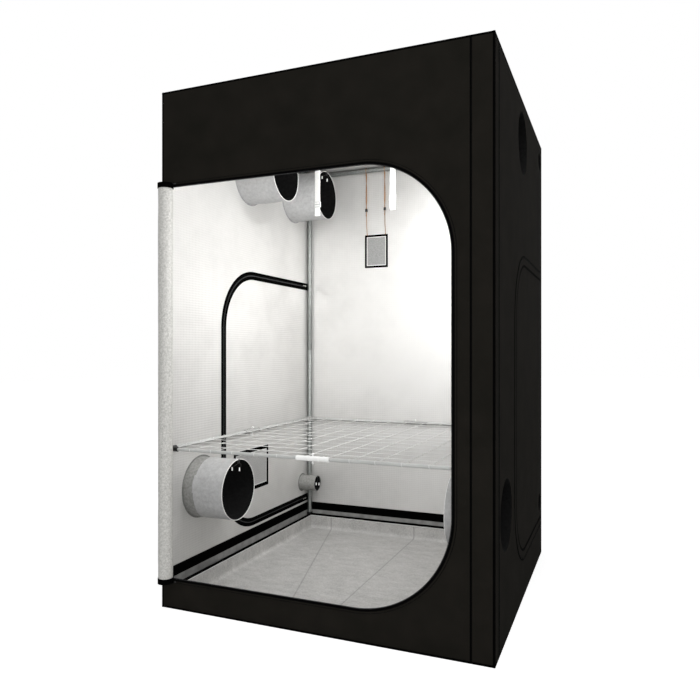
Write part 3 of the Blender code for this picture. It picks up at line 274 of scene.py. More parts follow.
# The same castings lacquered black on the outside of the cover, worn at their edges.
LACQUER = complete(begin("black-lacquered zinc", "#141414", 0.35), ("#0e0e0e", "#1c1c1c"),
                   {"Scale": 220.0, "Detail": 3.0})
# Crimped white plastic tips on the drawcords.
FERRULE = complete(begin("white nylon ferrule", "#f2f2f0", 0.35), ("#e8e8e6", "#f8f8f7"),
                   {"Scale": 500.0})

# ---------------------------------------------------------------- the workbench

def alone(piece):
    bpy.ops.object.select_all(action="DESELECT")
    piece.select_set(True)
    bpy.context.view_layer.objects.active = piece
    return piece

def called(piece, name):
    piece.name = piece.data.name = name
    return piece

def discard(*pieces):
    for piece in pieces:
        bpy.data.objects.remove(piece, do_unlink=True)

def from_shape(shape, name):
    """The piece that a drawn bmesh becomes."""
    mesh = bpy.data.meshes.new(name)
    shape.to_mesh(mesh)
    shape.free()
    made = bpy.data.objects.new(name, mesh)
    bpy.context.collection.objects.link(made)
    return made

def named(name):
    """The piece that an operator has just added, under its own name."""
    return called(bpy.context.object, name)

def choose(piece, kind, test):
    """Opens a piece for editing, with only the faces, edges or points that pass a test chosen."""
    alone(piece)
    bpy.ops.object.mode_set(mode="EDIT")
    bpy.ops.mesh.select_mode(type=kind)
    bpy.ops.mesh.select_all(action="DESELECT")
    shape = bmesh.from_edit_mesh(piece.data)
    for item in {"FACE": shape.faces, "EDGE": shape.edges, "VERT": shape.verts}[kind]:
        if test(item):
            item.select_set(True)
    shape.select_flush_mode()
    bmesh.update_edit_mesh(piece.data)

def close_edit():
    bpy.ops.object.mode_set(mode="OBJECT")

def outward(piece):
    """Merges doubles and turns every face outwards."""
    alone(piece)
    bpy.ops.object.mode_set(mode="EDIT")
    bpy.ops.mesh.select_all(action="SELECT")
    bpy.ops.mesh.remove_doubles(threshold=0.00002)
    bpy.ops.mesh.normals_make_consistent(inside=False)
    close_edit()
    return piece

def turn_round(piece):
    """Turns every face the other way."""
    alone(piece)
    bpy.ops.object.mode_set(mode="EDIT")
    bpy.ops.mesh.select_all(action="SELECT")
    bpy.ops.mesh.flip_normals()
    close_edit()
    return piece

def modify(piece, kind, **settings):
    """Adds a modifier with its settings and keeps its result."""
    alone(piece)
    change = piece.modifiers.new(kind.title(), kind)
    for key, value in settings.items():
        setattr(change, key, value)
    bpy.ops.object.modifier_apply(modifier=change.name)
    return piece

def settle(piece, place=None):
    """Puts a finished piece in place, and keeps that place in its mesh."""
    if place is not None:
        piece.matrix_world = place @ piece.matrix_world
    alone(piece)
    bpy.ops.object.transform_apply(location=True, rotation=True, scale=True)
    return piece

def stand(piece, wall):
    """Stands a flat drawing up on its wall."""
    across, up, out, reach = WALLS[wall]
    turn = Matrix((across, up, out)).transposed().to_4x4()
    return settle(piece, Matrix.Translation(out * reach) @ turn)

def copy_of(piece, name):
    made = piece.copy()
    made.data = piece.data.copy()
    called(made, name)
    bpy.context.collection.objects.link(made)
    return made

def join(first, *others):
    bpy.ops.object.select_all(action="DESELECT")
    for item in (first, *others):
        item.select_set(True)
    bpy.context.view_layer.objects.active = first
    bpy.ops.object.join()
    return first

def turned(degrees, axis):
    return Matrix.Rotation(math.radians(degrees), 4, axis)

def shape_by(piece, cutters, operation="DIFFERENCE"):
    """Cuts pieces out of another, joins them to it or keeps what they share."""
    for cutter in cutters:
        modify(piece, "BOOLEAN", object=cutter, operation=operation, solver="EXACT")
        discard(cutter)
    return piece

def weld(piece, *others):
    return shape_by(piece, others, "UNION")

def paint(piece, *finishes):
    piece.data.materials.clear()
    for finish in finishes:
        piece.data.materials.append(finish)
    return piece

def smooth(piece, angle=35):
    alone(piece)
    bpy.ops.object.shade_smooth_by_angle(angle=math.radians(angle))
    return piece

def keep(piece, body, *nodes, slot=None):
    """Hands a finished piece over: the body it moves with and the CAD nodes it stands for. The record's slot is
    not used."""
    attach(piece, body)
    if nodes:
        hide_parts(*nodes)
    return piece

def block(name, low, high, rounding=0.0, segments=2):
    """A block between two corners, its edges rounded."""
    low, high = Vector(low), Vector(high)
    bpy.ops.mesh.primitive_cube_add(size=1, location=(low + high) / 2)
    made = named(name)
    made.scale = high - low
    settle(made)
    if rounding:
        modify(made, "BEVEL", width=rounding, segments=segments, limit_method="ANGLE")
    return made

def rod(name, start, end, radius, sides=32, rounding=0.0, caps="NGON"):
    """A round bar between two points, its ends rounded."""
    start, end = Vector(start), Vector(end)
    run = end - start
    bpy.ops.mesh.primitive_cylinder_add(
        vertices=sides, radius=radius, depth=run.length, end_fill_type=caps,
        location=(start + end) / 2, rotation=run.to_track_quat("Z", "Y").to_euler())
    made = settle(named(name))
    if rounding:
        modify(made, "BEVEL", width=rounding, segments=2, limit_method="ANGLE",
               angle_limit=math.radians(50))
    return made

def pipe(name, start, end, radius, wall, sides=32):
    """A round tube: a bar whose two ends are inset and sunk, with rolled rims."""
    start, end = Vector(start), Vector(end)
    run = (end - start).normalized()
    made = rod(name, start, end, radius, sides)
    choose(made, "FACE", lambda f: abs(f.normal.dot(run)) > 0.9)
    bpy.ops.mesh.inset(thickness=wall, use_individual=True)
    bpy.ops.mesh.delete(type="FACE")
    close_edit()
    inner = rod(name + "_bore", start, end, radius - wall, sides, caps="NOTHING")
    alone(inner)
    bpy.ops.object.mode_set(mode="EDIT")
    bpy.ops.mesh.select_all(action="SELECT")
    bpy.ops.mesh.flip_normals()
    close_edit()
    join(made, inner)
    outward(made)
    return smooth(made, 30)

def sheet_of(name, outlines, thickness, lift=0.0):
    """A flat plate cut to closed outlines, the first its edge and the others holes in it."""
    curve = bpy.data.curves.new(name, "CURVE")
    curve.dimensions = "2D"
    curve.fill_mode = "BOTH"
    curve.extrude = thickness / 2
    for points in outlines:
        spline = curve.splines.new("POLY")
        spline.points.add(len(points) - 1)
        for point, (across, up) in zip(spline.points, points):
            point.co = (across, up, 0, 1)
        spline.use_cyclic_u = True
    made = bpy.data.objects.new(name, curve)
    bpy.context.collection.objects.link(made)
    alone(made)
    bpy.ops.object.convert(target="MESH")
    made = outward(named(name))
    made.location.z = lift + thickness / 2
    return settle(made)

def rectangle(left, right, low, high):
    return [(left, low), (right, low), (right, high), (left, high)]

def round_rectangle(left, right, low, high, radius, steps=6):
    points = []
    for across, up, first in ((right - radius, high - radius, 90), (right - radius, low + radius, 0),
                              (left + radius, low + radius, -90), (left + radius, high - radius, -180)):
        points += arc(across, up, radius, first, first - 90, steps)
    return points

def arc(across, up, radius, first, last, steps):
    """Points on a circle between two angles, in degrees."""
    angles = (math.radians(first + (last - first) * step / steps) for step in range(steps + 1))
    return [(across + radius * math.cos(turn), up + radius * math.sin(turn)) for turn in angles]

def circle(across, up, radius, sides=72):
    return arc(across, up, radius, 0, 360 - 360 / sides, sides - 1)

def door_path(door, by=0.0, shift=0.0, sign=1, steps=28):
    """A D-shaped door's zipped edge, moved outwards by a distance, in its wall's own drawing."""
    facing = 1 if door["free"] > door["sewn"] else -1
    free = door["free"] + facing * by
    low, high = door["low"] - by, door["high"] + by
    top, bottom = door["top"] + by, door["bottom"] + by
    sewn = door["sewn"] + shift
    points = arc(0, high - top, top, 90, 0, steps) + arc(0, low + bottom, bottom, 0, -90, steps)
    half = len(points) // 2
    bent = [(free + facing * (a - (top if i < half else bottom)), u) for i, (a, u) in enumerate(points)]
    return [(sign * a, u) for a, u in [(sewn, high)] + bent + [(sewn, low)]]

def dense(points, step=0.02, closed=False):
    """The same line with points close together, so that what runs along it bends smoothly."""
    ends = points + points[:1] if closed else points
    made = []
    for (a, b), (c, d) in zip(ends, ends[1:]):
        parts = max(1, round(math.hypot(c - a, d - b) / step))
        made += [(a + (c - a) * i / parts, b + (d - b) * i / parts) for i in range(parts)]
    return made if closed else made + [ends[-1]]

def run_along(name, unit, pitch, points, lift, closed=False):
    """Copies of a small unit, one after the other at a spacing, along a line of a flat drawing."""
    curve = bpy.data.curves.new(name + "_path", "CURVE")
    curve.dimensions = "3D"
    spline = curve.splines.new("POLY")
    spline.points.add(len(points) - 1)
    for point, (across, up) in zip(spline.points, points):
        point.co = (across, up, lift, 1)
    spline.use_cyclic_u = closed
    path = bpy.data.objects.new(name + "_path", curve)
    bpy.context.collection.objects.link(path)
    made = copy_of(unit, name)
    modify(made, "ARRAY", fit_type="FIT_CURVE", curve=path, use_relative_offset=False,
           use_constant_offset=True, constant_offset_displace=(pitch, 0, 0))
    modify(made, "CURVE", object=path, deform_axis="POS_X")
    discard(path)
    return made

def ease(value, low, high):
    value = min(1.0, max(0.0, (value - low) / (high - low)))
    return value * value * (3 - 2 * value)

def wander(*place):
    """A smooth chance value, always the same at one place."""
    return noise.noise(Vector(place))

def distance(point, lines):
    """How far a point of a flat drawing is from the nearest of some lines."""
    best = 9.0
    px, py = point
    for line in lines:
        for (ax, ay), (bx, by) in zip(line, line[1:]):
            dx, dy = bx - ax, by - ay
            span = dx * dx + dy * dy
            t = 0.0 if span == 0 else max(0.0, min(1.0, ((px - ax) * dx + (py - ay) * dy) / span))
            best = min(best, math.hypot(px - ax - t * dx, py - ay - t * dy))
    return best

# ---------------------------------------------------------------- camera, lamps and floor

def camera():
    """A level camera at the photograph's place, on a 700 by 700 frame."""
    data = bpy.data.cameras.new("camera")
    data.sensor_width = 36.0
    data.lens = 33.417
    data.shift_y = 1.86 / 700
    data.clip_end = 60
    made = bpy.data.objects.new("camera", data)
    made.location = (1.1807, -3.1686, 1.1655)
    made.rotation_euler = (math.radians(90), 0, 0.394408)
    bpy.context.collection.objects.link(made)
    bpy.context.scene.camera = made

def lamp(name, place, towards, size, power):
    """A square soft lamp, out of the camera's sight."""
    data = bpy.data.lights.new(name, "AREA")
    data.size = size
    data.energy = power
    made = bpy.data.objects.new(name, data)
    made.location = place
    made.rotation_euler = (Vector(towards) - Vector(place)).to_track_quat("-Z", "Y").to_euler()
    made.visible_camera = False
    bpy.context.collection.objects.link(made)

def surroundings():
    world = bpy.data.worlds.new("studio")
    bpy.context.scene.world = world
    world.use_nodes = True
    tree = world.node_tree
    for node in list(tree.nodes):
        tree.nodes.remove(node)
    ray = add(tree, "LightPath").outputs
    seen = add(tree, "Math", {0: ray["Is Camera Ray"], 1: ray["Is Glossy Ray"]}, operation="MAXIMUM")
    seen = add(tree, "Math", {0: seen.outputs[0], 1: ray["Is Transmission Ray"]}, operation="MAXIMUM")
    dim = add(tree, "Background", {"Color": (1, 1, 1, 1), "Strength": 0.42})
    white = add(tree, "Background", {"Color": (1, 1, 1, 1), "Strength": 1.0})
    mix = add(tree, "MixShader", {0: seen.outputs[0], 1: dim.outputs[0], 2: white.outputs[0]})
    add(tree, "OutputWorld", {"Surface": mix.outputs[0]})
    lamp("overhead_softbox", (1.5, -3.0, 5.0), (0, 0, 1.0), 3.5, 80)
    lamp("front_softbox", (0.9, -3.9, 1.35), (-0.1, 0.3, 1.2), 1.8, 36)
    lamp("grow_lamp", (0.02, -0.20, 2.24), (-0.05, 0.0, 0.5), 0.12, 8)
    lamp("inside_softbox", (0.42, -0.48, 1.62), (-0.6, 0.5, 1.55), 0.5, 16)
    bpy.ops.mesh.primitive_plane_add(size=40, location=(0, 8, -0.0015))
    floor = named("studio_floor")
    made, tree, shader, place = begin("pale studio floor", "#f1f1f1", 0.9)
    shader.inputs["Specular IOR Level"].default_value = 0.0
    glow = add(tree, "Emission", {"Color": (1, 1, 1, 1), "Strength": 0.66})
    ray = add(tree, "LightPath").outputs["Is Camera Ray"]
    none = add(tree, "Emission", {"Color": (0, 0, 0, 1), "Strength": 0.0})
    pick = add(tree, "MixShader", {0: ray, 1: none.outputs[0], 2: glow.outputs[0]})
    both = add(tree, "AddShader", {0: shader.outputs[0], 1: pick.outputs[0]})
    tree.links.new(both.outputs[0], tree.nodes["Material Output"].inputs["Surface"])
    paint(floor, made)

# ---------------------------------------------------------------- cords

def curve_piece(name, points, radius, finish):
    """A round cord on one smooth line."""
    data = bpy.data.curves.new(name, "CURVE")
    data.dimensions = "3D"
    data.bevel_depth = radius
    data.bevel_resolution = 3
    data.use_fill_caps = True
    spline = data.splines.new("POLY")
    spline.points.add(len(points) - 1)
    for point, place in zip(spline.points, points):
        point.co = (*place, 1)
    made = bpy.data.objects.new(name, data)
    bpy.context.collection.objects.link(made)
    made.data.materials.append(finish)
    return made

def rounded_line(points, step=0.012, smoothings=4):
    """A line through corner points, cut close and its corners relaxed."""
    line = []
    for first, last in zip(points, points[1:]):
        first, last = Vector(first), Vector(last)
        parts = max(1, round((last - first).length / step))
        line += [first.lerp(last, i / parts) for i in range(parts)]
    line.append(Vector(points[-1]))
    for _ in range(smoothings):
        line = [line[0]] + [(a + 2 * b + c) / 4 for a, b, c in zip(line, line[1:], line[2:])] + [line[-1]]
    return line

def knot_on(name, place, radius, finish, body):
    """A small overhand knot."""
    bpy.ops.mesh.primitive_torus_add(major_segments=20, minor_segments=10, major_radius=radius * 0.62,
                                     minor_radius=radius * 0.55, location=place,
                                     rotation=(math.radians(70), 0.3, 0))
    first = settle(named(name))
    bpy.ops.mesh.primitive_torus_add(major_segments=20, minor_segments=10, major_radius=radius * 0.5,
                                     minor_radius=radius * 0.5, location=place,
                                     rotation=(0.2, math.radians(60), 0.4))
    join(first, settle(named(name + "_turn")))
    paint(first, finish)
    smooth(first)
    keep(first, body, slot="orange_cord" if finish is ORANGE else "black_plastic")
    return first

def vent_cords():
    """The back vent's cord: from each window corner up over the rear rail and down to a tail."""
    radius, ply = 0.0017, 0.0036
    hold = POST + ply / 2 + radius
    free = hold - ply
    wrap = TUBE + 0.0003 + radius
    wall = HALF_Y - CLOTH - PROUD - radius
    fork, apart = RAIL_HIGH - 0.130, 0.0030
    foot = BACK_VENT[3] + radius
    over = arc(POST, RAIL_HIGH, wrap, 0, 180, 16)
    for side, x in (("left", -0.330), ("right", -0.205)):
        line = [(x, wall, foot), (x, hold, 1.985), (x, hold, 2.095),
                (x - apart, hold, 2.135), (x - apart, hold, fork)]
        line += [(x - apart + 2 * apart * i / (len(over) - 1), y, z) for i, (y, z) in enumerate(over)]
        line += [(x + apart, free, fork), (x + apart, free, 2.135), (x, free, 2.095), (x, free, 2.0425)]
        route = rounded_line(line, 0.008, 2)
        made = curve_piece(f"vent_cord_{side}", route, radius, ORANGE)
        end = route[-1]
        knot = knot_on(f"vent_cord_knot_{side}", end + Vector((0, 0, -0.001)), 0.0032, ORANGE, COVER)
        root = knot_on(f"vent_cord_root_{side}", Vector(line[0]) + Vector((0, -0.0012, 0)), 0.0030,
                       ORANGE, COVER)
        keep(made, COVER, "vent_cord", slot="orange_cord")

# ---------------------------------------------------------------- cover

QUIET = {}

def billow(wall, across, up, reach=0.0022):
    """How far the cloth stands out of its plane: slack between its seams, none on them."""
    fade = ease(distance((across, up), QUIET[wall]), 0.015, 0.16)
    if fade == 0.0:
        return 0.0
    seed = {"front": 1.0, "back": 9.0, "right": 17.0, "left": 25.0, "roof": 33.0, "base": 41.0}[wall]
    wide = wander(across * 1.7 + seed, up * 1.1, seed)
    small = wander(across * 5.0, up * 3.6 + seed, 2 * seed)
    return fade * reach * (wide + 0.35 * small)

def cloth_panel(name, wall, edge, holes, cells=0.03):
    """A stretched panel: black cloth outside and lining inside, cut to its outline."""
    left, right = min(a for a, _ in edge), max(a for a, _ in edge)
    low, high = min(u for _, u in edge), max(u for _, u in edge)
    bpy.ops.mesh.primitive_grid_add(
        x_subdivisions=round((right - left) / cells), y_subdivisions=round((high - low) / cells),
        size=1, location=((left + right) / 2, (low + high) / 2, 0))
    made = named(name)
    made.scale = (right - left, high - low, 1)
    settle(made)
    for point in made.data.vertices:
        point.co.z = billow(wall, point.co.x, point.co.y)
    paint(made, OXFORD, LINING)
    modify(made, "SOLIDIFY", thickness=CLOTH, offset=-1, material_offset=1)
    if len(edge) > 4:
        shape_by(made, [sheet_of("edge_cutter", [edge], 0.06, -0.03)], "INTERSECT")
    cutters = [sheet_of("hole_cutter", [hole], 0.06, -0.03) for hole in holes]
    shape_by(made, cutters)
    return smooth(made)

def shoulders():
    """The lines on each wall where its cloth is held flat."""
    front = rectangle(-HALF_X, HALF_X, 0, HEIGHT)
    side = rectangle(-HALF_Y, HALF_Y, 0, HEIGHT)
    for wall, edge in (("front", front), ("back", front), ("right", side), ("left", side)):
        QUIET[wall] = [edge + edge[:1]]
    flat = rectangle(-HALF_X, HALF_X, -HALF_Y, HALF_Y)
    QUIET["roof"] = [flat + flat[:1]]
    QUIET["base"] = [flat + flat[:1]]
    QUIET["front"].append(door_path(FRONT_DOOR, 0.01, steps=10))
    QUIET["front"].append([(0.665, 0), (0.665, HEIGHT)])
    for wall, sign in (("right", 1), ("left", -1)):
        QUIET[wall].append(door_path(SIDE_DOOR, 0, sign=sign, steps=8))
        QUIET[wall].append([(sign * 0.744, 0.2), (sign * 0.744, 1.6)])
        QUIET[wall].append([(sign * -0.67, 0), (sign * -0.67, HEIGHT)])
        for _, side, y, z, radius, _ in DUCTS:
            if side == sign:
                ring = circle(sign * y, z, radius + 0.012, 16)
                QUIET[wall].append(ring + ring[:1])
        for z in (CABLE_LOW, CABLE_HIGH):
            ring = circle(sign * CABLE_Y, z, 0.055, 12)
            QUIET[wall].append(ring + ring[:1])
    y0, y1, z0, z1 = SIDE_VENT
    window = rectangle(-y1, -y0, z0, z1)
    QUIET["left"].append(window + window[:1])
    x0, x1, z0, z1 = BACK_VENT
    window = rectangle(-x1, -x0, z0, z1)
    QUIET["back"].append(window + window[:1])
    QUIET["back"].append([(0.003, 0), (0.003, HEIGHT)])

def walls():
    """The six panels of the cover, each cut to its outline."""
    low, high = 0.0013, HEIGHT - 0.0013
    front = rectangle(-HALF_X, HALF_X, low, high)
    doorway = door_path(FRONT_DOOR, FRONT_BORDER / 2)
    made = stand(cloth_panel("front_panel_cloth", "front", front, [doorway]), "front")
    keep(made, COVER, "front_panel", slot="black_cloth")
    for label, wall, sign in (("left", "left", -1), ("right", "right", 1)):
        edge = rectangle(-0.7537, 0.7537, low, high)
        opening = door_path(SIDE_DOOR, SIDE_TAPE / 2, 0.0012, sign)
        ports = [circle(sign * y, z, r) for _, s, y, z, r, _ in DUCTS if s == sign]
        if sign > 0:
            ports.append(circle(CABLE_Y, CABLE_HIGH, 0.048))
        made = cloth_panel(f"{label}_wall_cloth", wall, edge, [opening, *ports])
        keep(stand(made, wall), COVER, f"{label}_wall", slot="silver_lining" if sign < 0 else "black_cloth")
        side_door(label, wall, sign)
    x0, x1, z0, z1 = BACK_VENT
    window = rectangle(-x1 + 0.010, -x0 - 0.010, z0 + 0.010, z1 - 0.010)
    made = cloth_panel("back_wall_cloth", "back", front, [window])
    keep(stand(made, "back"), COVER, "back_wall", slot="silver_lining")
    flat = rectangle(-HALF_X, HALF_X, -HALF_Y, HALF_Y)
    for name, wall in (("roof_panel", "roof"), ("base_panel", "base")):
        made = cloth_panel(name + "_cloth", wall, flat, [])
        keep(stand(made, wall), COVER, name, slot="black_cloth")

def side_door(label, wall, sign):
    """The D-shaped door in a side wall, with its port, and on the left its vent window."""
    edge = door_path(SIDE_DOOR, -SIDE_TAPE / 2, -0.0003, sign)
    holes = [circle(sign * CABLE_Y, CABLE_LOW, 0.048)]
    if sign < 0:
        y0, y1, z0, z1 = SIDE_VENT
        holes.append(rectangle(-y1 + 0.015, -y0 - 0.015, z0 + 0.015, z1 - 0.015))
    made = cloth_panel(f"{label}_side_door_cloth", wall, edge, holes, 0.035)
    body = f"{label}_door"
    keep(stand(made, wall), body, f"{label}_side_door", slot="silver_lining" if sign < 0 else "black_cloth")

def stitch():
    """One stitch of thread: a short bar, drawn down at both ends."""
    bpy.ops.mesh.primitive_cube_add(size=1, location=(0.0014, 0, 0))
    made = named("stitch")
    made.scale = (0.0028, 0.0006, 0.0005)
    settle(made)
    choose(made, "FACE", lambda f: abs(f.normal.x) > 0.9)
    bpy.ops.mesh.inset(thickness=0.00012, use_individual=True)
    bpy.ops.transform.translate(value=(0, 0, -0.0001))
    close_edit()
    return paint(made, THREAD)

def zip_tooth():
    """One coil of a zip: a small bar with rounded shoulders, lying across the tape's edge."""
    bpy.ops.mesh.primitive_cube_add(size=1, location=(0.0008, 0, 0.0007))
    made = named("zip_tooth")
    made.scale = (0.0016, 0.0042, 0.0014)
    settle(made)
    modify(made, "BEVEL", width=0.0004, segments=1, limit_method="ANGLE")
    return paint(made, COIL)

STITCH = stitch()
TOOTH = zip_tooth()

def stitches(line, lift, closed=False):
    """A row of stitches along a line."""
    return run_along("stitches", STITCH, 0.0044, line, lift, closed)

def tape_band(name, outer, inner, thickness, lift, finish=None):
    """A tape that follows a line, between two offsets of it."""
    return paint(sheet_of(name, [outer + inner[::-1]], thickness, lift), finish or TAPE)

def binding(name, pieces, wall, body, slot="black_cloth"):
    """Tapes, teeth and stitches of one seam as one piece on its wall."""
    made = join(*pieces)
    called(made, name)
    stand(made, wall)
    keep(made, body, slot=slot)
    return made

def front_border():
    """The doorway's zip tape, with half of the zip at its edge and two rows of stitches."""
    outer = door_path(FRONT_DOOR, FRONT_BORDER, -0.004)
    inner = door_path(FRONT_DOOR, 0.0, -0.004)
    thickness = CLOTH + 2 * PROUD
    parts = [tape_band("border", outer, inner, thickness, -CLOTH - PROUD)]
    fold = door_path(FRONT_DOOR, 0.0195, -0.004)
    ridge = door_path(FRONT_DOOR, 0.0135, -0.004)
    parts.append(tape_band("border_fold", fold, ridge, 0.0005, PROUD - 0.0001, OXFORD))
    line = dense(door_path(FRONT_DOOR, 0.0012, 0.0), 0.015)
    parts.append(run_along("front_teeth", TOOTH, 0.0026, line, PROUD - 0.0002))
    for by in (0.0208, 0.0125):
        line = dense(door_path(FRONT_DOOR, by, -0.003), 0.02)
        parts.append(stitches(line, PROUD + 0.0002))
    binding("front_doorway_border", parts, "front", COVER)

def side_zips():
    """Each side door's zip: its wall tape, its door tape, the closed coil and its rain flap."""
    for wall, sign in (("left", -1), ("right", 1)):
        lift = -CLOTH - PROUD
        thickness = CLOTH + PROUD + 0.0004
        outer = door_path(SIDE_DOOR, SIDE_TAPE, 0.005, sign)
        inner = door_path(SIDE_DOOR, 0.0002, 0.005, sign)
        wall_parts = [tape_band("wall_tape", outer, inner, thickness, lift)]
        outer = door_path(SIDE_DOOR, -0.0003, -0.001, sign)
        inner = door_path(SIDE_DOOR, -SIDE_TAPE, -0.001, sign)
        door_parts = [tape_band("door_tape", outer, inner, thickness, lift)]
        for by, parts in ((0.0011, wall_parts), (-0.0011, door_parts)):
            line = dense(door_path(SIDE_DOOR, by, -0.03, sign), 0.015)
            coil = run_along("teeth", TOOTH, 0.0026, line, 0.0)
            coil.location.z = lift - 0.0012
            parts.append(settle(coil))
        for by, parts in ((0.0215, wall_parts), (0.009, wall_parts),
                          (-0.009, door_parts), (-0.0215, door_parts)):
            line = dense(door_path(SIDE_DOOR, by, -0.03, sign), 0.02)
            parts.append(stitches(line, lift - 0.0001))
        # Outside: a flap of cover cloth over the zip, with a bound edge on each side
        for near, far, finish, height in ((0.0185, -0.0185, OXFORD, 0.0009), (0.0270, 0.0160, TAPE, 0.0013),
                                          (-0.0160, -0.0270, TAPE, 0.0013)):
            outer = door_path(SIDE_DOOR, near, -0.004, sign)
            inner = door_path(SIDE_DOOR, far, -0.004, sign)
            wall_parts.append(tape_band("rain_flap", outer, inner, height, 0.0003, finish))
        line = dense(door_path(SIDE_DOOR, 0.020, -0.006, sign), 0.02)
        wall_parts.append(stitches(line, 0.0017))
        binding(f"{wall}_wall_zip", wall_parts, wall, COVER)
        binding(f"{wall}_door_zip", door_parts, wall, f"{wall}_door")

def strip(left, right, low, high, thickness, lift, finish=None, name="strip"):
    return paint(sheet_of(name, [rectangle(left, right, low, high)], thickness, lift), finish or TAPE)

def seams():
    """Flat-felled seams down the walls, each a raised fold with two rows of stitches."""
    top = HEIGHT - 0.008
    for wall, across, half in (("front", 0.665, 0.0045), ("right", -0.67, 0.010),
                               ("left", 0.67, 0.010), ("back", 0.003, 0.0045)):
        parts = [strip(across - half, across + half, 0.008, top, 0.0007, 0.0)]
        for row in (across + 0.003, across - 0.003):
            parts.append(stitches([(row, 0.012), (row, HEIGHT - 0.012)], 0.0006))
        if wall == "back":
            parts.append(strip(across - 0.004, across + 0.004, 0.165, top, 0.0006, -CLOTH - 0.0006, LINING))
        binding(f"{wall}_seam", parts, wall, COVER)

def edge_bindings():
    """Folded tape over the cover's twelve edges, round at the fold, where the panels meet."""
    reach, proud, thick = 0.0085, 0.0006, 0.0012
    section = [(-reach, proud)] + arc(-0.0022, -0.0022, 0.0022 + proud, 90, 0, 6) + [(proud, -reach)]
    section += [(proud - thick, -reach), (proud - thick, proud - thick), (-reach, proud - thick)]
    runs = []
    for sx in (-1, 1):
        for sy in (-1, 1):
            runs.append(((sx * HALF_X, sy * HALF_Y, 0.0), Z, X * sx, Y * sy, HEIGHT))
    for sz, z in ((-1, 0.0), (1, HEIGHT)):
        for sy in (-1, 1):
            runs.append(((-HALF_X, sy * HALF_Y, z), X, Y * sy, Z * sz, WIDTH))
        for sx in (-1, 1):
            runs.append(((sx * HALF_X, -HALF_Y, z), Y, X * sx, Z * sz, DEPTH))
    parts = []
    for start, run, first, second, length in runs:
        start = Vector(start)
        shape = bmesh.new()
        floor_shift = Vector((0, 0, 0.0008)) if start.z == 0 and run != Z else Vector()
        rings = []
        for along in (0.0, length):
            rings.append([shape.verts.new(start + run * along + first * a + second * b + floor_shift)
                          for a, b in section])
        count = len(section)
        for i in range(count):
            j = (i + 1) % count
            shape.faces.new((rings[0][i], rings[0][j], rings[1][j], rings[1][i]))
        shape.faces.new(rings[0])
        shape.faces.new(rings[1][::-1])
        parts.append(paint(outward(from_shape(shape, "edge_tape")), TAPE))
    made = join(*parts)
    called(made, "cover_edge_bindings")
    smooth(made, 40)
    keep(made, COVER, slot="black_cloth")

def inside_skirts():
    """Low on the inner walls: the grey skirt behind the tray and the black tape above it."""
    for wall in ("left", "back", "right"):
        parts = [strip(-0.7535, 0.7535, 0.004, 0.114, 0.0006, -CLOTH - 0.0006, SKIRT),
                 strip(-0.7535, 0.7535, 0.113, 0.163, 0.0014, -CLOTH - 0.0014, TAPE)]
        for up in (0.1165, 0.1595):
            line = [(-0.752, up), (0.752, up)]
            parts.append(stitches(line, -CLOTH - 0.0018))
        binding(f"{wall}_skirt", parts, wall, COVER, "grey_tray_cloth")

def window_frame(name, wall, box, border, body, mesh_pitch, thread):
    """A vent window: a taped frame, its stitches and a woven mesh behind it."""
    left, right, low, high = box
    thickness = CLOTH + 2 * PROUD
    parts = [paint(sheet_of("frame", [round_rectangle(left, right, low, high, 0.004),
                                      rectangle(left + border, right - border, low + border, high - border)],
                            thickness, -CLOTH - PROUD), TAPE)]
    for inset in (0.003, border - 0.003):
        ring = rectangle(left + inset, right - inset, low + inset, high - inset)
        parts.append(stitches(dense(ring, 0.03, True), -CLOTH - PROUD - 0.0002, True))
    parts.append(paint(sheet_of("rim", [
        rectangle(left + border - 0.0005, right - border + 0.0005,
                  low + border - 0.0005, high - border + 0.0005),
        rectangle(left + border + 0.0035, right - border - 0.0035,
                  low + border + 0.0035, high - border - 0.0035)],
        0.0012, -CLOTH - 0.0010), WEBBING))
    binding(f"{name}_frame", parts, wall, body)
    left, right, low, high = left + border, right - border, low + border, high - border
    threads = []
    for across, first, last, near, far, lift in ((True, low, high, left, right, -0.0007),
                                                 (False, left, right, low, high, -0.0003)):
        count = round((last - first) / mesh_pitch)
        for i in range(1, count):
            at = first + (last - first) * i / count
            middle = (near + far) / 2
            bpy.ops.mesh.primitive_cylinder_add(
                vertices=6, radius=thread / 2, depth=far - near + 0.008,
                location=(middle, at, lift) if across else (at, middle, lift),
                rotation=(0, math.radians(90), 0) if across else (math.radians(90), 0, 0))
            threads.append(paint(settle(named("thread")), MESH))
    made = join(*threads)
    called(made, f"{name}_mesh")
    smooth(made)
    stand(made, wall)
    keep(made, body, slot="grey_sleeve_cloth")

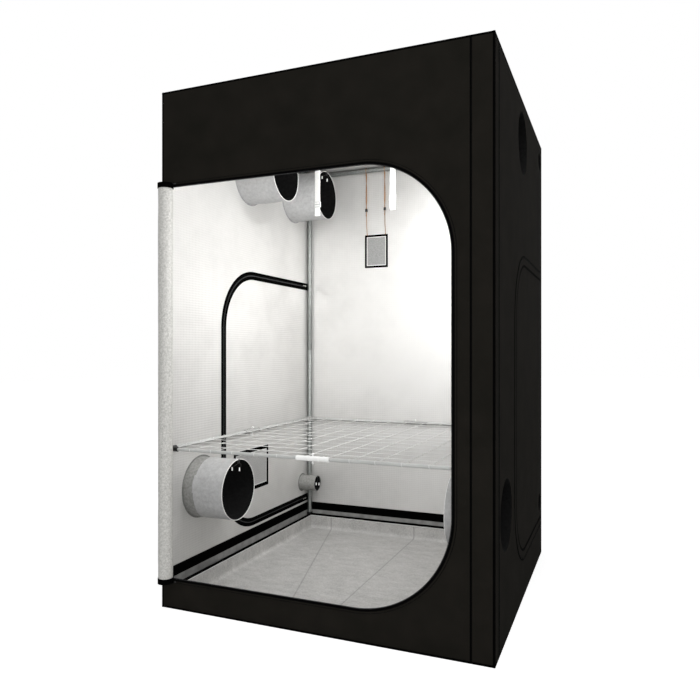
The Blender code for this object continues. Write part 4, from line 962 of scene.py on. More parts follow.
def vent_flap(name, wall, box, body, node):
    """A weather flap over a vent from outside: hemmed cloth, bellied, sewn along its top."""
    left, right, low, high = box
    bpy.ops.mesh.primitive_grid_add(x_subdivisions=24, y_subdivisions=18, size=1,
                                    location=((left + right) / 2, (low + high) / 2, PROUD + 0.0002))
    made = named(name)
    made.scale = (right - left, high - low, 1)
    settle(made)
    for point in made.data.vertices:
        across, up = (point.co.x - left) / (right - left), (point.co.y - low) / (high - low)
        belly = math.sin(math.pi * across) * max(0.0, 1 - up) ** 0.7 * ease(up, -0.1, 0.35)
        ripple = wander(point.co.x * 9, point.co.y * 6, 3.0)
        point.co.z += 0.0022 * max(0.0, belly) + 0.0009 * (ripple + 0.6) * (1 - up)
    paint(made, OXFORD, DARKER_GREY_NYLON if wall == "back" else LINING)
    modify(made, "SOLIDIFY", thickness=0.0008, offset=1)
    for face in made.data.polygons:
        face.material_index = 1 if face.normal.z < -0.5 else 0
    hem = [paint(sheet_of("hem", [rectangle(left, right, low, high),
                                  rectangle(left + 0.008, right - 0.008, low + 0.008, high - 0.008)],
                          0.0016, PROUD + 0.0003), TAPE)]
    ring = dense(rectangle(left + 0.006, right - 0.006, low + 0.006, high - 0.006), 0.02, True)
    hem.append(stitches(ring, PROUD + 0.0020, closed=True))
    smooth(stand(made, wall))
    keep(made, body, node, slot="black_cloth")
    edge = join(*hem)
    called(edge, name + "_hem")
    stand(edge, wall)
    keep(edge, body, slot="black_cloth")

def windows():
    y0, y1, z0, z1 = SIDE_VENT
    window_frame("left_vent", "left", (-y1, -y0, z0, z1), 0.022, "left_door", 0.006, 0.0012)
    vent_flap("left_vent_weather_flap", "left", (-y1 - 0.015, -y0 + 0.015, z0 - 0.015, z1 + 0.015),
              "left_flap", "left_vent_flap")
    x0, x1, z0, z1 = BACK_VENT
    window_frame("back_vent", "back", (-x1, -x0, z0, z1), 0.014, COVER, 0.006, 0.0014)
    vent_flap("back_vent_weather_flap", "back", (-x1 - 0.015, -x0 + 0.015, z0 - 0.015, z1 + 0.015),
              "back_flap", "back_vent_flap")

def rolled_door():
    """The front door, rolled up beside its sewn edge: a wound spiral of cloth, lining outwards."""
    outer, core, cloth = 0.033, 0.009, 0.001
    turns, steps, rows = 10.05, 22, 44
    cx, cy = -0.738 + outer, -HALF_Y - PROUD - outer - 0.004
    high, low = 1.9217, 0.1293
    pitch = (outer - core) / turns
    line = [(cx - outer + 0.0002, -HALF_Y - PROUD)]
    total = round(turns * steps)
    for step in range(total + 1):
        radius = outer - pitch * turns * step / total
        angle = math.pi + 2 * math.pi * turns * step / total
        line.append((cx + radius * math.cos(angle), cy + radius * math.sin(angle), step / steps))
    shape = bmesh.new()
    columns = []
    for point in line:
        across, back = point[0], point[1]
        turn = point[2] if len(point) > 2 else 0.0
        loose = 0.0011 if len(point) > 2 and turn < 1.1 else 0.0
        column = []
        for row in range(rows + 1):
            z = low + (high - low) * row / rows
            radial = Vector((across - cx, back - cy, 0))
            crease = wander(radial.x * 40, radial.y * 40, z * 9.0)
            crease += 0.5 * wander(radial.x * 90 + 7, radial.y * 90, z * 26.0)
            shift = radial.normalized() * (loose * crease - 0.0004 * turn / turns)
            column.append(shape.verts.new((across + shift.x, back + shift.y, z)))
        columns.append(column)
    for first, second in zip(columns, columns[1:]):
        for row in range(rows):
            shape.faces.new((first[row], second[row], second[row + 1], first[row + 1]))
    made = from_shape(shape, "front_door_rolled")
    paint(made, ROLLED, OXFORD)
    modify(made, "SOLIDIFY", thickness=cloth, offset=-1, material_offset=1)
    smooth(made)
    keep(made, "front_door", "front_door_roll", slot="silver_lining")
    ends = []
    for z0, z1 in ((high - 0.024, high), (low, low + 0.024)):
        band = rod("roll_band", (cx, cy, z0), (cx, cy, z1), outer + 0.0018, 48)
        choose(band, "FACE", lambda f: abs(f.normal.z) > 0.9)
        bpy.ops.mesh.inset(thickness=0.0030, use_individual=True)
        bpy.ops.mesh.delete(type="FACE")
        close_edit()
        inner = rod("roll_band_bore", (cx, cy, z0), (cx, cy, z1), outer - 0.0006, 48, caps="NOTHING")
        join(band, inner)
        outward(band)
        for point in band.data.vertices:
            turn = math.atan2(point.co.y - cy, point.co.x - cx)
            flare = 1 + 0.02 * math.sin(3 * turn + z0 * 5)
            point.co.x, point.co.y = cx + (point.co.x - cx) * flare, cy + (point.co.y - cy) * flare
        modify(band, "BEVEL", width=0.0008, segments=2, limit_method="ANGLE", angle_limit=math.radians(50))
        ends.append(paint(band, TAPE))
    # Ends of the turns: the zip tape wound up with the cloth
    bands = join(*ends)
    called(bands, "rolled_zip_bands")
    smooth(bands)
    keep(bands, "front_door", slot="black_cloth")

# ---------------------------------------------------------------- sleeves

def sleeve_place(side, y, z):
    """Stands a sleeve, drawn upwards from its root, against the inside of a side wall."""
    turn = turned(-90 * side, "Y")
    return Matrix.Translation((side * (INNER - 0.0003), y, z)) @ turn

def cloth_sleeve(node, side, y, z, radius, length, body, collar=False):
    """A sewn sleeve: flange, creased wall and a hemmed mouth with its drawcord, and where asked a darker band
    at its root.
    """
    small = radius < 0.1
    sides, rings = (64, 14) if small else (120, 30)
    wall = 0.0015
    hem = 0.010
    bpy.ops.mesh.primitive_cylinder_add(vertices=sides, radius=radius + wall, depth=length,
                                        end_fill_type="NOTHING", location=(0, 0, length / 2))
    made = named(node + "_cloth")
    choose(made, "EDGE", lambda e: abs(e.verts[0].co.z - e.verts[1].co.z) > length / 2)
    bpy.ops.mesh.subdivide(number_cuts=rings)
    close_edit()
    choose(made, "EDGE", lambda e: all(v.co.z < -length / 2 + 0.0001 for v in e.verts))
    bpy.ops.mesh.extrude_edges_move()
    bpy.ops.transform.resize(value=((radius + 0.010) / (radius + wall),) * 2 + (1,))
    close_edit()
    settle(made)
    seed = y * 7 + z * 3 + side
    for point in made.data.vertices:
        co = point.co
        up, around = co.z, math.atan2(co.y, co.x)
        if math.hypot(co.x, co.y) > radius + 0.006:
            co.z = 0.0008
            continue
        mid = ease(up, 0.004, 0.05) * (1 - ease(up, length - 0.03, length - hem))
        ray = Vector((math.cos(around), math.sin(around), 0))
        wide = wander(ray.x * 2.2 + seed, ray.y * 2.2, up * 10)
        fine = wander(ray.x * 6.5, ray.y * 6.5 + seed, up * 30)
        pull = wander(ray.x * 11 + seed, ray.y * 11, up * 4 + 9)
        scale = radius / 0.145
        step = scale * (mid * (0.0035 * wide + 0.0018 * fine) + (0.25 + mid) * 0.0008 * pull)
        gather = 0.0006 * scale * math.sin(around * (26 if small else 54) + 2 * wide)
        step += gather * ease(up, length - 0.034, length - hem)
        edge = (up - (length - hem)) / hem
        if 0 < edge < 1:
            step += 0.0022 * math.sin(math.pi * edge) ** 0.6
        co.x += ray.x * step
        co.y += ray.y * step
        co.z += 0.0022 * scale * mid * wander(ray.x * 3, ray.y * 3 + seed, 5.0)
    outward(made)
    # The cable sleeves take the darker grey nylon: painted shade.
    paint(made, DARKER_GREY_NYLON if small else SLEEVE, DARK)
    if collar:
        made.data.materials.append(DARKER_GREY_NYLON)
    face_out = made.data.polygons[len(made.data.polygons) // 2]
    if face_out.normal.dot(Vector((face_out.center.x, face_out.center.y, 0))) < 0:
        turn_round(made)
    modify(made, "SOLIDIFY", thickness=wall, offset=-1, material_offset=1)
    # On the left low sleeve, a band of the darker grey nylon round the root.
    if collar:
        for face in made.data.polygons:
            reach = math.hypot(face.center.x, face.center.y)
            if face.material_index == 0 and face.center.z < 0.054 and reach > radius - 0.004:
                face.material_index = 2
    smooth(made, 50)
    bpy.ops.mesh.primitive_torus_add(major_segments=sides, minor_segments=8, major_radius=radius + 0.0008,
                                     minor_radius=0.0018, location=(0, 0, length - 0.0012))
    rim = named(node + "_rim")
    for point in rim.data.vertices:
        around = math.atan2(point.co.y, point.co.x)
        point.co.z += 0.0004 * math.sin(around * (26 if small else 54))
    settle(rim)
    paint(rim, SKIRT if small else WEBBING)
    smooth(rim)
    ring = circle(0, 0, radius + 0.0065, 60)
    trim = join(rim, stitches(ring + ring[:1], 0.0014))
    called(trim, node + "_trim")
    place = sleeve_place(side, y, z)
    for piece in (made, trim):
        settle(piece, place)
        keep(piece, body, slot="grey_sleeve_cloth")
    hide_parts(node)
    around = 2 * math.pi * radius

def cord_lock(name, side, y, z, radius, length, body, tails):
    """The barrel lock on a sleeve's mouth, and the two ends of its drawcord, spread as they hang."""
    scale = 1.0 if radius > 0.1 else 0.7
    x = side * (INNER - 0.0003 - length + 0.001)
    top = z + radius + 0.0015
    place = Vector((x, y, top - 0.010 * scale))
    barrel = rod("barrel", (0, 0, -0.010), (0, 0, 0.006), 0.0058, 24, 0.0014)
    button = rod("button", (0, 0, 0.006), (0, 0, 0.0115), 0.0042, 24, 0.0012)
    eye = rod("eye", (-0.012, 0, -0.002), (0.012, 0, -0.002), 0.0017, 16)
    shape_by(barrel, [eye])
    waist = rod("waist", (0, 0, -0.0008), (0, 0, 0.0002), 0.0064, 24)
    weld(barrel, waist)
    join(barrel, button)
    called(barrel, name + "_lock")
    paint(barrel, PLASTIC)
    smooth(barrel)
    settle(barrel, Matrix.Translation(place) @ Matrix.Scale(scale, 4))
    keep(barrel, body, slot="black_plastic")
    for index, (sideways, drop) in enumerate(tails):
        start = place + Vector((0, math.copysign(0.0035, sideways), -0.009 * scale))
        route = []
        for step in range(17):
            t = step / 16
            out = sideways * math.sin(math.pi / 2 * t) + 0.009 * math.sin(math.pi * t)
            route.append(start + Vector((-side * 0.45 * out, out, -drop * t * (0.5 + 0.5 * t))))
        cord = curve_piece(f"{name}_cord_{index}", route, 0.00125, BLACK_CORD)
        tip = rod(f"{name}_tip_{index}", route[-1] + Vector((0, 0, 0.004)), route[-1] - Vector((0, 0, 0.013)),
                  0.0034, 16, 0.0010)
        paint(tip, FERRULE)
        smooth(tip)
        for piece in (cord, tip):
            keep(piece, body, slot="black_plastic")

def sleeves():
    for node, side, y, z, radius, length in DUCTS:
        cloth_sleeve(node, side, y, z, radius, length, COVER, collar=node.endswith("left_low"))
        cord_lock(node, side, y, z, radius, length, COVER, ((-0.032, 0.018), (0.002, 0.026)))
    for node, side, z, body in CABLES:
        cloth_sleeve(node, side, CABLE_Y, z, 0.048, 0.112, body)
        cord_lock(node, side, CABLE_Y, z, 0.048, 0.112, body, ((-0.008, 0.034), (0.010, 0.038)))

# ---------------------------------------------------------------- zip sliders

def slider_pattern():
    """A zip slider on its tape: body with raised rails, bridge and a hung pull with a grip."""
    body = block("slider", (-0.008, -0.0045, 0), (0.008, 0.0045, 0.0034), 0.0012, 3)
    choose(body, "FACE", lambda f: f.normal.z > 0.9)
    bpy.ops.mesh.inset(thickness=0.0012)
    bpy.ops.transform.translate(value=(0, 0, -0.0005))
    close_edit()
    bridge = block("bridge", (-0.0045, -0.0014, 0.0020), (0.0055, 0.0014, 0.0046), 0.0009, 3)
    window = rod("window", (0.0005, -0.004, 0.0032), (0.0005, 0.004, 0.0032), 0.0008, 16)
    shape_by(bridge, [window])
    pull = block("pull", (0.003, -0.003, 0.0012), (0.036, 0.003, 0.0024), 0.0005, 2)
    slot = block("slot", (0.0045, -0.0016, -0.01), (0.0095, 0.0016, 0.01))
    grip = block("grip", (0.016, -0.0019, -0.01), (0.032, 0.0019, 0.01))
    shape_by(pull, [slot, grip])
    for index in range(5):
        rib = block("rib", (0.0172 + index * 0.0031, -0.0022, 0.0012),
                    (0.0184 + index * 0.0031, 0.0022, 0.0024))
        join(pull, rib)
    made = join(body, bridge, pull)
    paint(made, ZINC)
    return smooth(made, 40)

def zip_sliders():
    pattern = slider_pattern()
    half = 0.0045 + 0.0003
    out = turned(90, "X")
    rise = FRONT_BORDER / 2 + half
    y = -HALF_Y - PROUD
    spots = [("front_slider_top", "front_zip_top",
              Matrix.Translation((-0.712, y, FRONT_DOOR["high"] + rise)) @ out),
             ("front_slider_bottom", "front_zip_bottom",
              Matrix.Translation((-0.712, y, FRONT_DOOR["low"] - rise)) @ out)]
    ahead = turned(-90, "Z")
    for label, side in (("left", -1), ("right", 1)):
        turn = turned(-90 * side, "Y") @ ahead
        for end, z in (("top", SIDE_DOOR["high"] + half), ("bottom", SIDE_DOOR["low"] - half)):
            place = Matrix.Translation((side * (INNER - PROUD), 0.706, z)) @ turn
            spots.append((f"{label}_slider_{end}", f"{label}_zip_{end}", place))
    for node, body, place in spots:
        made = copy_of(pattern, node + "_casting")
        if node.startswith("front"):
            paint(made, LACQUER)
        settle(made, place)
        keep(made, body, node, slot="zinc")
    discard(pattern)

# ---------------------------------------------------------------- frame

def frame_poles():
    """Galvanised tubes with rolled ends; the long ones are two lengths, joined by a swaged end."""
    reach = POST - 0.0203
    rails = []
    for level, z in (("top", RAIL_HIGH), ("bottom", RAIL_LOW)):
        for label, y in (("front", -POST), ("rear", POST)):
            rails.append((f"{level}_rail_{label}", (-reach, y, z), (reach, y, z)))
        for label, x in (("left", -POST), ("right", POST)):
            rails.append((f"{level}_rail_{label}", (x, -reach, z), (x, reach, z)))
    for side, x in (("left", -POST), ("right", POST)):
        for end, y in (("front", -POST), ("rear", POST)):
            rails.append((f"upright_{end}_{side}", (x, y, RAIL_LOW + 0.0203), (x, y, RAIL_HIGH - 0.0203)))
    for node, start, end in rails:
        start, end = Vector(start), Vector(end)
        made = pipe(node + "_tube", start, end, TUBE, 0.0012, 40)
        run = (end - start).normalized()
        middle = (start + end) / 2
        for shift in (-0.004, -0.0025, 0.0025, 0.004):
            choose(made, "FACE", lambda f: True)
            bpy.ops.mesh.bisect(plane_co=middle + run * shift, plane_no=run)
            close_edit()
        choose(made, "VERT", lambda v: abs((v.co - middle).dot(run)) < 0.0028
               and ((v.co - middle) - run * (v.co - middle).dot(run)).length > TUBE - 0.0006)
        bpy.ops.transform.resize(value=[1.0 if abs(run[i]) > 0.5 else 0.966 for i in range(3)],
                                 center_override=middle)
        close_edit()
        paint(made, STEEL)
        smooth(made, 30)
        keep(made, COVER, node, slot="galvanised_tube")

def corner_pattern():
    """A three-way connector: a rounded block, three sockets with collars, a dimple on each outer face."""
    body = block("corner", (-CORNER,) * 3, (CORNER,) * 3, 0.005, 4)
    ways = (X, Y, -Z)
    for way in ways:
        weld(body, rod("arm", way * 0.009, way * 0.080, SOCKET, 40, 0.0008))
    for way in ways:
        collar = rod("collar", way * 0.0735, way * 0.0795, CORNER - 0.0001, 40, 0.0008)
        weld(body, collar)
        shape_by(body, [rod("bore", way * 0.020, way * 0.095, BORE, 40)])
    for way in (-X, -Y, Z):
        dimple = rod("dimple", way * (CORNER - 0.0018), way * (CORNER + 0.01), 0.009, 32, 0.0006)
        shape_by(body, [dimple])
        boss = rod("boss", way * (CORNER - 0.003), way * (CORNER - 0.0008), 0.0055, 32, 0.0004)
        weld(body, boss)
    return smooth(paint(body, PLASTIC), 35)

def corner_connectors():
    pattern = corner_pattern()
    spots = (("front_left", -1, -1, 0), ("front_right", 1, -1, 1),
             ("rear_right", 1, 1, 2), ("rear_left", -1, 1, 3))
    over = Matrix.Rotation(math.pi, 4, Vector((1, 1, 0)))
    for spot, side, end, quarter in spots:
        turn = turned(90 * quarter, "Z")
        for level, z, flip in (("top", RAIL_HIGH, Matrix.Identity(4)), ("bottom", RAIL_LOW, over)):
            made = copy_of(pattern, f"corner_{level}_{spot}_moulding")
            settle(made, Matrix.Translation((side * POST, end * POST, z)) @ turn @ flip)
            keep(made, COVER, f"corner_{level}_{spot}", slot="black_plastic")
    discard(pattern)

def snap_clamp(name, centre, axis, out, width, arm_end, arm_radius, finish):
    """A snap-on clamp: a slotted ring round a tube, rolled lips at its slot and a socketed arm."""
    side = axis.cross(out)
    ring = rod(name, centre - axis * width / 2, centre + axis * width / 2, SOCKET, 40, 0.0007)
    arm = rod("arm", centre + (arm_end - centre).normalized() * 0.0153, arm_end, arm_radius, 32, 0.0007)
    weld(ring, arm)
    way_out = (arm_end - centre).normalized()
    bead = rod("bead", arm_end - way_out * 0.006, arm_end - way_out * 0.001, arm_radius + 0.0009, 32, 0.0005)
    weld(ring, bead)
    shape_by(ring, [rod("bore", centre - axis * width, centre + axis * width, BORE, 40)])
    slot = block("slot", (-0.0100, -width, 0), (0.0100, width, 0.03))
    turn = Matrix((side, axis, out)).transposed().to_4x4()
    settle(slot, Matrix.Translation(centre) @ turn)
    shape_by(ring, [slot])
    for way in (-1, 1):
        seat = centre + side * way * 0.0113 + out * 0.0120
        lip = rod("lip", seat - axis * width / 2, seat + axis * width / 2, 0.0013, 16, 0.0004)
        weld(ring, lip)
    paint(ring, finish)
    return smooth(ring, 35)

def ceiling_bars():
    """Two steel bars across the ceiling, each held by a moulded clamp on each side rail."""
    for label, y in (("front", -BAR_Y), ("rear", BAR_Y)):
        reach = POST - 0.022
        middle = Vector((0, y, RAIL_HIGH))
        bar = pipe(f"crossbar_{label}_tube", middle - X * reach, middle + X * reach, BAR_RADIUS, 0.0012, 32)
        paint(bar, STEEL)
        smooth(bar, 30)
        keep(bar, COVER, f"crossbar_{label}", slot="galvanised_tube")
        for side, word in ((-1, "left"), (1, "right")):
            centre = middle + X * side * POST
            out = Vector((side, 0, 1)).normalized()
            made = snap_clamp(f"crossbar_{label}_clamp_{word}", centre, Y, out, 0.036,
                              centre - X * side * 0.050, 0.0135, PLASTIC)
            keep(made, COVER, slot="black_plastic")

# ---------------------------------------------------------------- net shelf

def net_bars():
    """Four enamelled bars, each with its coupling sleeve, hook and corner clip."""
    corners = (("front", (-POST, -POST), X, Y), ("right", (POST, -POST), Y, -X),
               ("rear", (POST, POST), -X, -Y), ("left", (-POST, POST), -Y, X))
    for label, (cx, cy), run, other in corners:
        corner = Vector((cx, cy, NET_Z))
        end = corner + run * (2 * POST - 0.055 + 0.030)
        bar = pipe(f"net_bar_{label}_tube", corner + run * 0.028, end, 0.0075, 0.0009, 28)
        paint(bar, ENAMEL)
        keep(smooth(bar, 30), "net_shelf", f"net_bar_{label}", slot="white_enamel")
        middle = corner + run * POST
        coupling = rod("coupling", middle - run * 0.076, middle + run * 0.076, 0.0105, 32, 0.0012)
        for shift in (-0.070, -0.026, 0.026, 0.070):
            bead = rod("bead", middle + run * (shift - 0.004), middle + run * (shift + 0.004),
                       0.0117, 32, 0.0010)
            weld(coupling, bead)
        shape_by(coupling, [rod("bore", middle - run * 0.09, middle + run * 0.09, 0.0076, 28)])
        screw = rod("screw", middle + run * 0.050 + Z * 0.0095, middle + run * 0.050 + Z * 0.0128,
                    0.0036, 20, 0.0006)
        slot = block("slot", (-0.0005, -0.004, 0.0120), (0.0005, 0.004, 0.015))
        settle(slot, Matrix.Translation(middle + run * 0.050))
        shape_by(screw, [slot])
        join(coupling, screw)
        called(coupling, f"net_coupling_{label}")
        paint(coupling, PALE_PLASTIC if label == "front" else GREY_PLASTIC)
        keep(smooth(coupling, 35), "net_shelf", slot="white_enamel")
        route = [middle - Z * 0.0205 + other * 0.006, middle - Z * 0.0215 + other * 0.002,
                 middle - Z * 0.019 - other * 0.002]
        route += [middle - Z * 0.012, middle, middle + Z * 0.013]
        route += [middle + Z * 0.0185 + other * 0.0006, middle + Z * 0.0215 + other * 0.0035,
                  middle + Z * 0.0205 + other * 0.0075, middle + Z * 0.0165 + other * 0.0088]
        hook = curve_piece(f"net_hook_{label}", rounded_line(route, 0.0015, 3), 0.0034, PALE_PLASTIC)
        alone(hook)
        bpy.ops.object.convert(target="MESH")
        hook = outward(bpy.context.object)
        keep(smooth(hook, 50), "net_shelf", slot="white_enamel")
        out = -(run + other).normalized()
        finish = PLASTIC if label == "front" else GREY_PLASTIC
        clip = snap_clamp(f"net_clip_{label}", corner, Z, out, 0.034, corner + run * 0.055, 0.0103, finish)
        arm = rod("arm", corner + other * 0.0153, corner + other * 0.055, 0.0103, 32, 0.0007)
        weld(clip, arm)
        shape_by(clip, [rod("bore", corner - Z * 0.05, corner + Z * 0.05, BORE, 40)])
        shape_by(clip, [rod("socket", corner + other * 0.0247, corner + other * 0.07, 0.0078, 28)])
        keep(smooth(clip, 35), "net_shelf", slot="white_enamel")

def net():
    """The knotted net: fourteen cords each way, a knot at each crossing and lashings to the bars."""
    half = POST - 0.0105 - 0.0003
    cord = 0.0035
    cell = (2 * half - cord * 14) / 13
    lines = [-half + cord / 2 + i * (cell + cord) for i in range(14)]
    notch = 0.055 + 0.0003 - (POST - half)
    lo, hi = lines[0], lines[-1]

    def level(x, y):
        bow = (1 - (x / half) ** 2) * (1 - (y / half) ** 2)
        return NET_Z - 0.0012 * bow + 0.0004 * wander(x * 6, y * 6, 1)

    parts = []
    for along in (0, 1):
        for i, fixed in enumerate(lines):
            first, last = lo, hi
            if i in (0, 13):
                first, last = lo + notch, hi - notch
            route = []
            for k in range(53):
                t = first + (last - first) * k / 52
                x, y = (t, fixed) if along == 0 else (fixed, t)
                phase = (t - lo) / (cell + cord) * math.pi
                over = 0.0005 * math.cos(phase) * (1 if (i + along) % 2 else -1)
                drift = 0.0004 * wander(t * 5, i * 3.1, along * 7.0)
                x, y = (x, y + drift) if along == 0 else (x + drift, y)
                route.append((x, y, level(x, y) + over))
            line = curve_piece("net_line", route, 0.00155, TWINE)
            line.data.bevel_resolution = 1
            parts.append(line)
    for sx in (-1, 1):
        for sy in (-1, 1):
            a = Vector((sx * (hi - notch), sy * hi, NET_Z))
            b = Vector((sx * hi, sy * (hi - notch), NET_Z))
            parts.append(curve_piece("net_line", rounded_line([a, b], 0.01, 0), 0.00155, TWINE))
    bpy.ops.object.select_all(action="DESELECT")
    for item in parts:
        item.select_set(True)
    bpy.context.view_layer.objects.active = parts[0]
    bpy.ops.object.convert(target="MESH")
    made = join(parts[0], *parts[1:])
    bpy.ops.mesh.primitive_ico_sphere_add(subdivisions=1, radius=0.0036, location=(0, 0, 0))
    knot = named("knot")
    knot.scale = (1.05, 1.05, 0.62)
    settle(knot)
    knots = []
    for i, x in enumerate(lines):
        for j, y in enumerate(lines):
            if i in (0, 13) and j in (0, 13):
                continue
            item = copy_of(knot, "knot")
            settle(item, Matrix.Translation((x, y, level(x, y))) @ Matrix.Rotation(0.7 * i + 1.1 * j, 4, "Z"))
            knots.append(item)
    discard(knot)
    # Lashings: a loop round the bar and one through the net's edge, at each cell
    bpy.ops.mesh.primitive_torus_add(major_segments=18, minor_segments=6, major_radius=0.0089,
                                     minor_radius=0.0011)
    loop = settle(named("loop"))
    for side in range(4):
        turn = turned(90 * side, "Z")
        for t in lines[1:-1]:
            if abs(t) < 0.085:
                continue
            place = turn @ Matrix.Translation((t, -POST, NET_Z)) @ turned(84, "Y")
            item = copy_of(loop, "lashing")
            settle(item, place)
            knots.append(item)
            link = copy_of(loop, "lashing")
            settle(link, turn @ Matrix.Translation((t, -POST + 0.0098, NET_Z)) @ Matrix.Scale(0.36, 4))
            knots.append(link)
    discard(loop)
    join(made, *knots)
    called(made, "net_twine")
    paint(made, TWINE)
    smooth(made, 60)
    keep(made, "net_shelf", "net", slot="white_webbing")

# ---------------------------------------------------------------- straps and floor tray

def webbing_loop(name, x, path, width, thickness):
    """A band of webbing on its edge line, with a rounded selvedge."""
    shape = bmesh.new()
    columns = 8
    rows = []
    for y, z in path:
        rows.append([shape.verts.new((x - width / 2 + width * i / columns, y, z))
                     for i in range(columns + 1)])
    for first, second in zip(rows, rows[1:] + rows[:1]):
        for i in range(columns):
            shape.faces.new((first[i], first[i + 1], second[i + 1], second[i]))
    bmesh.ops.recalc_face_normals(shape, faces=shape.faces)
    made = from_shape(shape, name)
    paint(made, WEBBING)
    modify(made, "SOLIDIFY", thickness=thickness, offset=0, use_rim=True)
    modify(made, "BEVEL", width=thickness * 0.3, segments=2, limit_method="ANGLE",
           angle_limit=math.radians(60))
    return smooth(made, 40)

def straps():
    """Two webbing loops over the front ceiling bar, each held shut by a three-bar slide."""
    thick, ply = 0.0016, 0.0008
    for label, x in (("left", -0.195), ("right", 0.195)):
        radius = BAR_RADIUS + 0.0003 + thick / 2
        low = HEIGHT - 0.517 + ply + thick
        over = arc(0, RAIL_HIGH, radius, 0, 180, 20)
        foot = arc(0, low, ply + thick / 2, 180, 360, 12)
        legs = []
        for k in range(9):
            t = k / 8
            legs.append((-(ply + thick / 2) - (radius - ply - thick / 2) * (1 - t) ** 2,
                         RAIL_HIGH - 0.080 * t))
        down = [(-(ply + thick / 2), RAIL_HIGH - 0.080 - (RAIL_HIGH - 0.080 - low) * k / 24)
                for k in range(1, 24)]
        rise = [(-y, z) for y, z in down[::-1]] + [(-y, z) for y, z in legs[::-1]][:-1]
        loop = over + legs[1:] + down + foot + rise
        loop = [(y - BAR_Y, z) for y, z in loop]
        made = webbing_loop(f"strap_{label}", x, loop, 0.026, thick)
        keep(made, COVER, f"hanging_strap_{label}", slot="white_webbing")
        seam = []
        for dz in (0.0, 0.014):
            row = block("bar_tack", (x - 0.0098, -BAR_Y - 0.0033, HEIGHT - 0.107 - dz),
                        (x + 0.0098, -BAR_Y + 0.0033, HEIGHT - 0.1055 - dz), 0.0004)
            seam.append(paint(row, TWINE))
        tack = join(*seam)
        called(tack, f"strap_tacks_{label}")
        keep(tack, COVER, slot="white_webbing")
        middle = Vector((x, -BAR_Y, HEIGHT - 0.517 + 0.0565))
        wide, deep, tall, rim = 0.0133, ply + thick + 0.0003, 0.0135, 0.003
        frame_ring = block(f"strap_slide_{label}", (-wide - rim, -deep - 0.0022, -tall),
                           (wide + rim, deep + 0.0022, tall), 0.0012, 3)
        shape_by(frame_ring, [block("slot", (-wide, -deep, -0.03), (wide, deep, 0.03))])
        for z0, z1 in ((0.0022, 0.0108), (-0.0108, -0.0022)):
            window = block("window", (-wide + 0.0008, -0.02, z0), (wide - 0.0008, 0.02, z1), 0.0006)
            shape_by(frame_ring, [window])
        for z0 in (-0.0125, 0.0119, -0.0003):
            groove = block("groove", (-wide, -deep - 0.003, z0), (wide, -deep - 0.0018, z0 + 0.0006))
            shape_by(frame_ring, [groove])
        settle(frame_ring, Matrix.Translation(middle))
        paint(frame_ring, ENAMEL)
        smooth(frame_ring, 35)
        keep(frame_ring, f"buckle_{label}", f"strap_buckle_{label}", slot="white_enamel")

def cord_stops():
    """The two sliding cord locks on the vent's cord."""
    for label, x in (("left", -0.330), ("right", -0.205)):
        clear, deep = 0.0048, 0.0036
        body = block(f"cord_stop_{label}_barrel", (-0.007, -deep - 0.0022, -0.010),
                     (0.007, deep + 0.0022, 0.006), 0.0022, 4)
        shape_by(body, [block("slot", (-clear, -deep, -0.03), (clear, deep, 0.03))])
        button = block("button", (-0.0064, -deep - 0.0008, 0.0064), (0.0064, deep + 0.0008, 0.010), 0.0014, 3)
        shape_by(button, [block("slot", (-clear, -deep, -0.03), (clear, deep, 0.03))])
        for z in (-0.0065, -0.003, 0.0005):
            for way in (-1, 1):
                face = way * (deep + 0.0016)
                rib = block("rib", (-0.0045, face - 0.0007, z), (0.0045, face + 0.0007, z + 0.0014), 0.0004)
                weld(body, rib)
        join(body, button)
        settle(body, Matrix.Translation((x, POST + 0.0015, 2.077)))
        paint(body, PLASTIC)
        smooth(body, 35)
        keep(body, f"stop_{label}", f"cord_stop_{label}", slot="black_plastic")

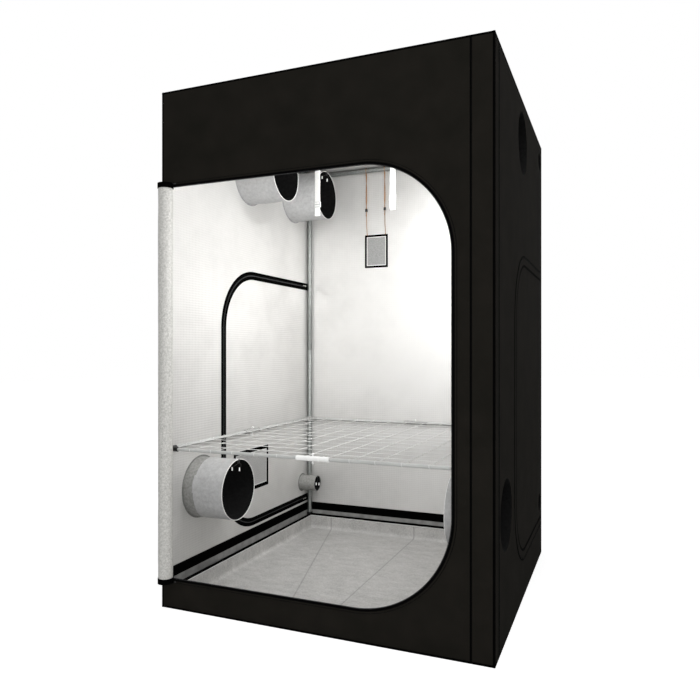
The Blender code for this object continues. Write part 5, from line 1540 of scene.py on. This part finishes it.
def floor_tray():
    """The lift-out tray: coated cloth with fold creases, leaning upstands and a bound rim."""
    half = POST - CORNER - 0.0003 - 0.001
    low, tall, cloth, turn = 0.0013, 0.094, 0.0015, 0.022
    edge = [half - turn + turn * math.sin(math.radians(a)) for a in (90, 72, 54, 36, 18, 0)]
    inner = [-(half - turn) + 2 * (half - turn) * i / 54 for i in range(1, 54)]
    across = [-a for a in edge] + inner + edge[::-1]
    shape = bmesh.new()
    grid = []
    for x in across:
        row = []
        for y in across:
            inset = max(0.0, min(half - abs(x), half - abs(y)))
            rise = turn - math.sqrt(max(0.0, turn * turn - (turn - inset) ** 2)) if inset < turn else 0.0
            if inset >= turn:
                wide = wander(x * 3.0, y * 3.0, 2.0)
                fold = sum(math.exp(-((x - at - lean * y) / 0.006) ** 2) for at, lean in TRAY_FOLDS)
                rise += ease(inset, turn, 0.10) * (0.0010 * max(0.0, wide + 0.2) + 0.0009 * fold)
            row.append(shape.verts.new((x, y, low + rise)))
        grid.append(row)
    for first, second in zip(grid, grid[1:]):
        for k in range(len(across) - 1):
            shape.faces.new((first[k], second[k], second[k + 1], first[k + 1]))
    rim = [row[0] for row in grid] + grid[-1][1:] + [row[-1] for row in grid[-2::-1]] + grid[0][-2:0:-1]
    below = rim
    for step in range(1, 7):
        up = turn + (tall - turn) * step / 6
        above = []
        for vert in rim:
            x, y = vert.co.x, vert.co.y
            lean = 0.0012 * abs(wander(x * 4.0, y * 4.0, 8.0)) * math.sin(math.pi * step / 6)
            x -= math.copysign(lean, x) if half - abs(x) < 0.0001 else 0.0
            y -= math.copysign(lean, y) if half - abs(y) < 0.0001 else 0.0
            above.append(shape.verts.new((x, y, low + up)))
        for k in range(len(rim)):
            n = (k + 1) % len(rim)
            shape.faces.new((below[k], below[n], above[n], above[k]))
        below = above
    bmesh.ops.recalc_face_normals(shape, faces=shape.faces)
    made = from_shape(shape, "floor_tray_cloth")
    middle = made.data.polygons[len(across) * (len(across) // 2)]
    if middle.normal.z > 0:
        turn_round(made)
    paint(made, TRAY)
    modify(made, "SOLIDIFY", thickness=cloth, offset=-1)
    smooth(made, 50)
    keep(made, COVER, "floor_tray", slot="grey_tray_cloth")
    outer = half + 0.001
    rings = []
    for name, z0, z1, out, inn, finish in (("hem", 0.0838, 0.0978, outer, half - 0.0022, TAPE),
                                           ("hem_line", 0.0810, 0.0843, half + 0.0006, half - 0.0026, WEBBING)):
        ring = sheet_of(name, [rectangle(-out, out, -out, out), rectangle(-inn, inn, -inn, inn)], z1 - z0, z0)
        modify(ring, "BEVEL", width=0.0006, segments=2, limit_method="ANGLE", angle_limit=math.radians(60))
        rings.append(paint(ring, finish))
    hem = join(*rings)
    called(hem, "floor_tray_hem")
    smooth(hem, 40)
    keep(hem, COVER, slot="grey_tray_cloth")

for make in (camera, surroundings, vent_cords, shoulders, walls, front_border, side_zips, seams,
             edge_bindings, inside_skirts, windows, rolled_door, sleeves, zip_sliders, frame_poles,
             corner_connectors, ceiling_bars, net_bars, net, straps, cord_stops, floor_tray):
    make()

bpy.context.scene.view_settings.view_transform = "Standard"
discard(STITCH, TOOTH)
bpy.context.view_layer.update()
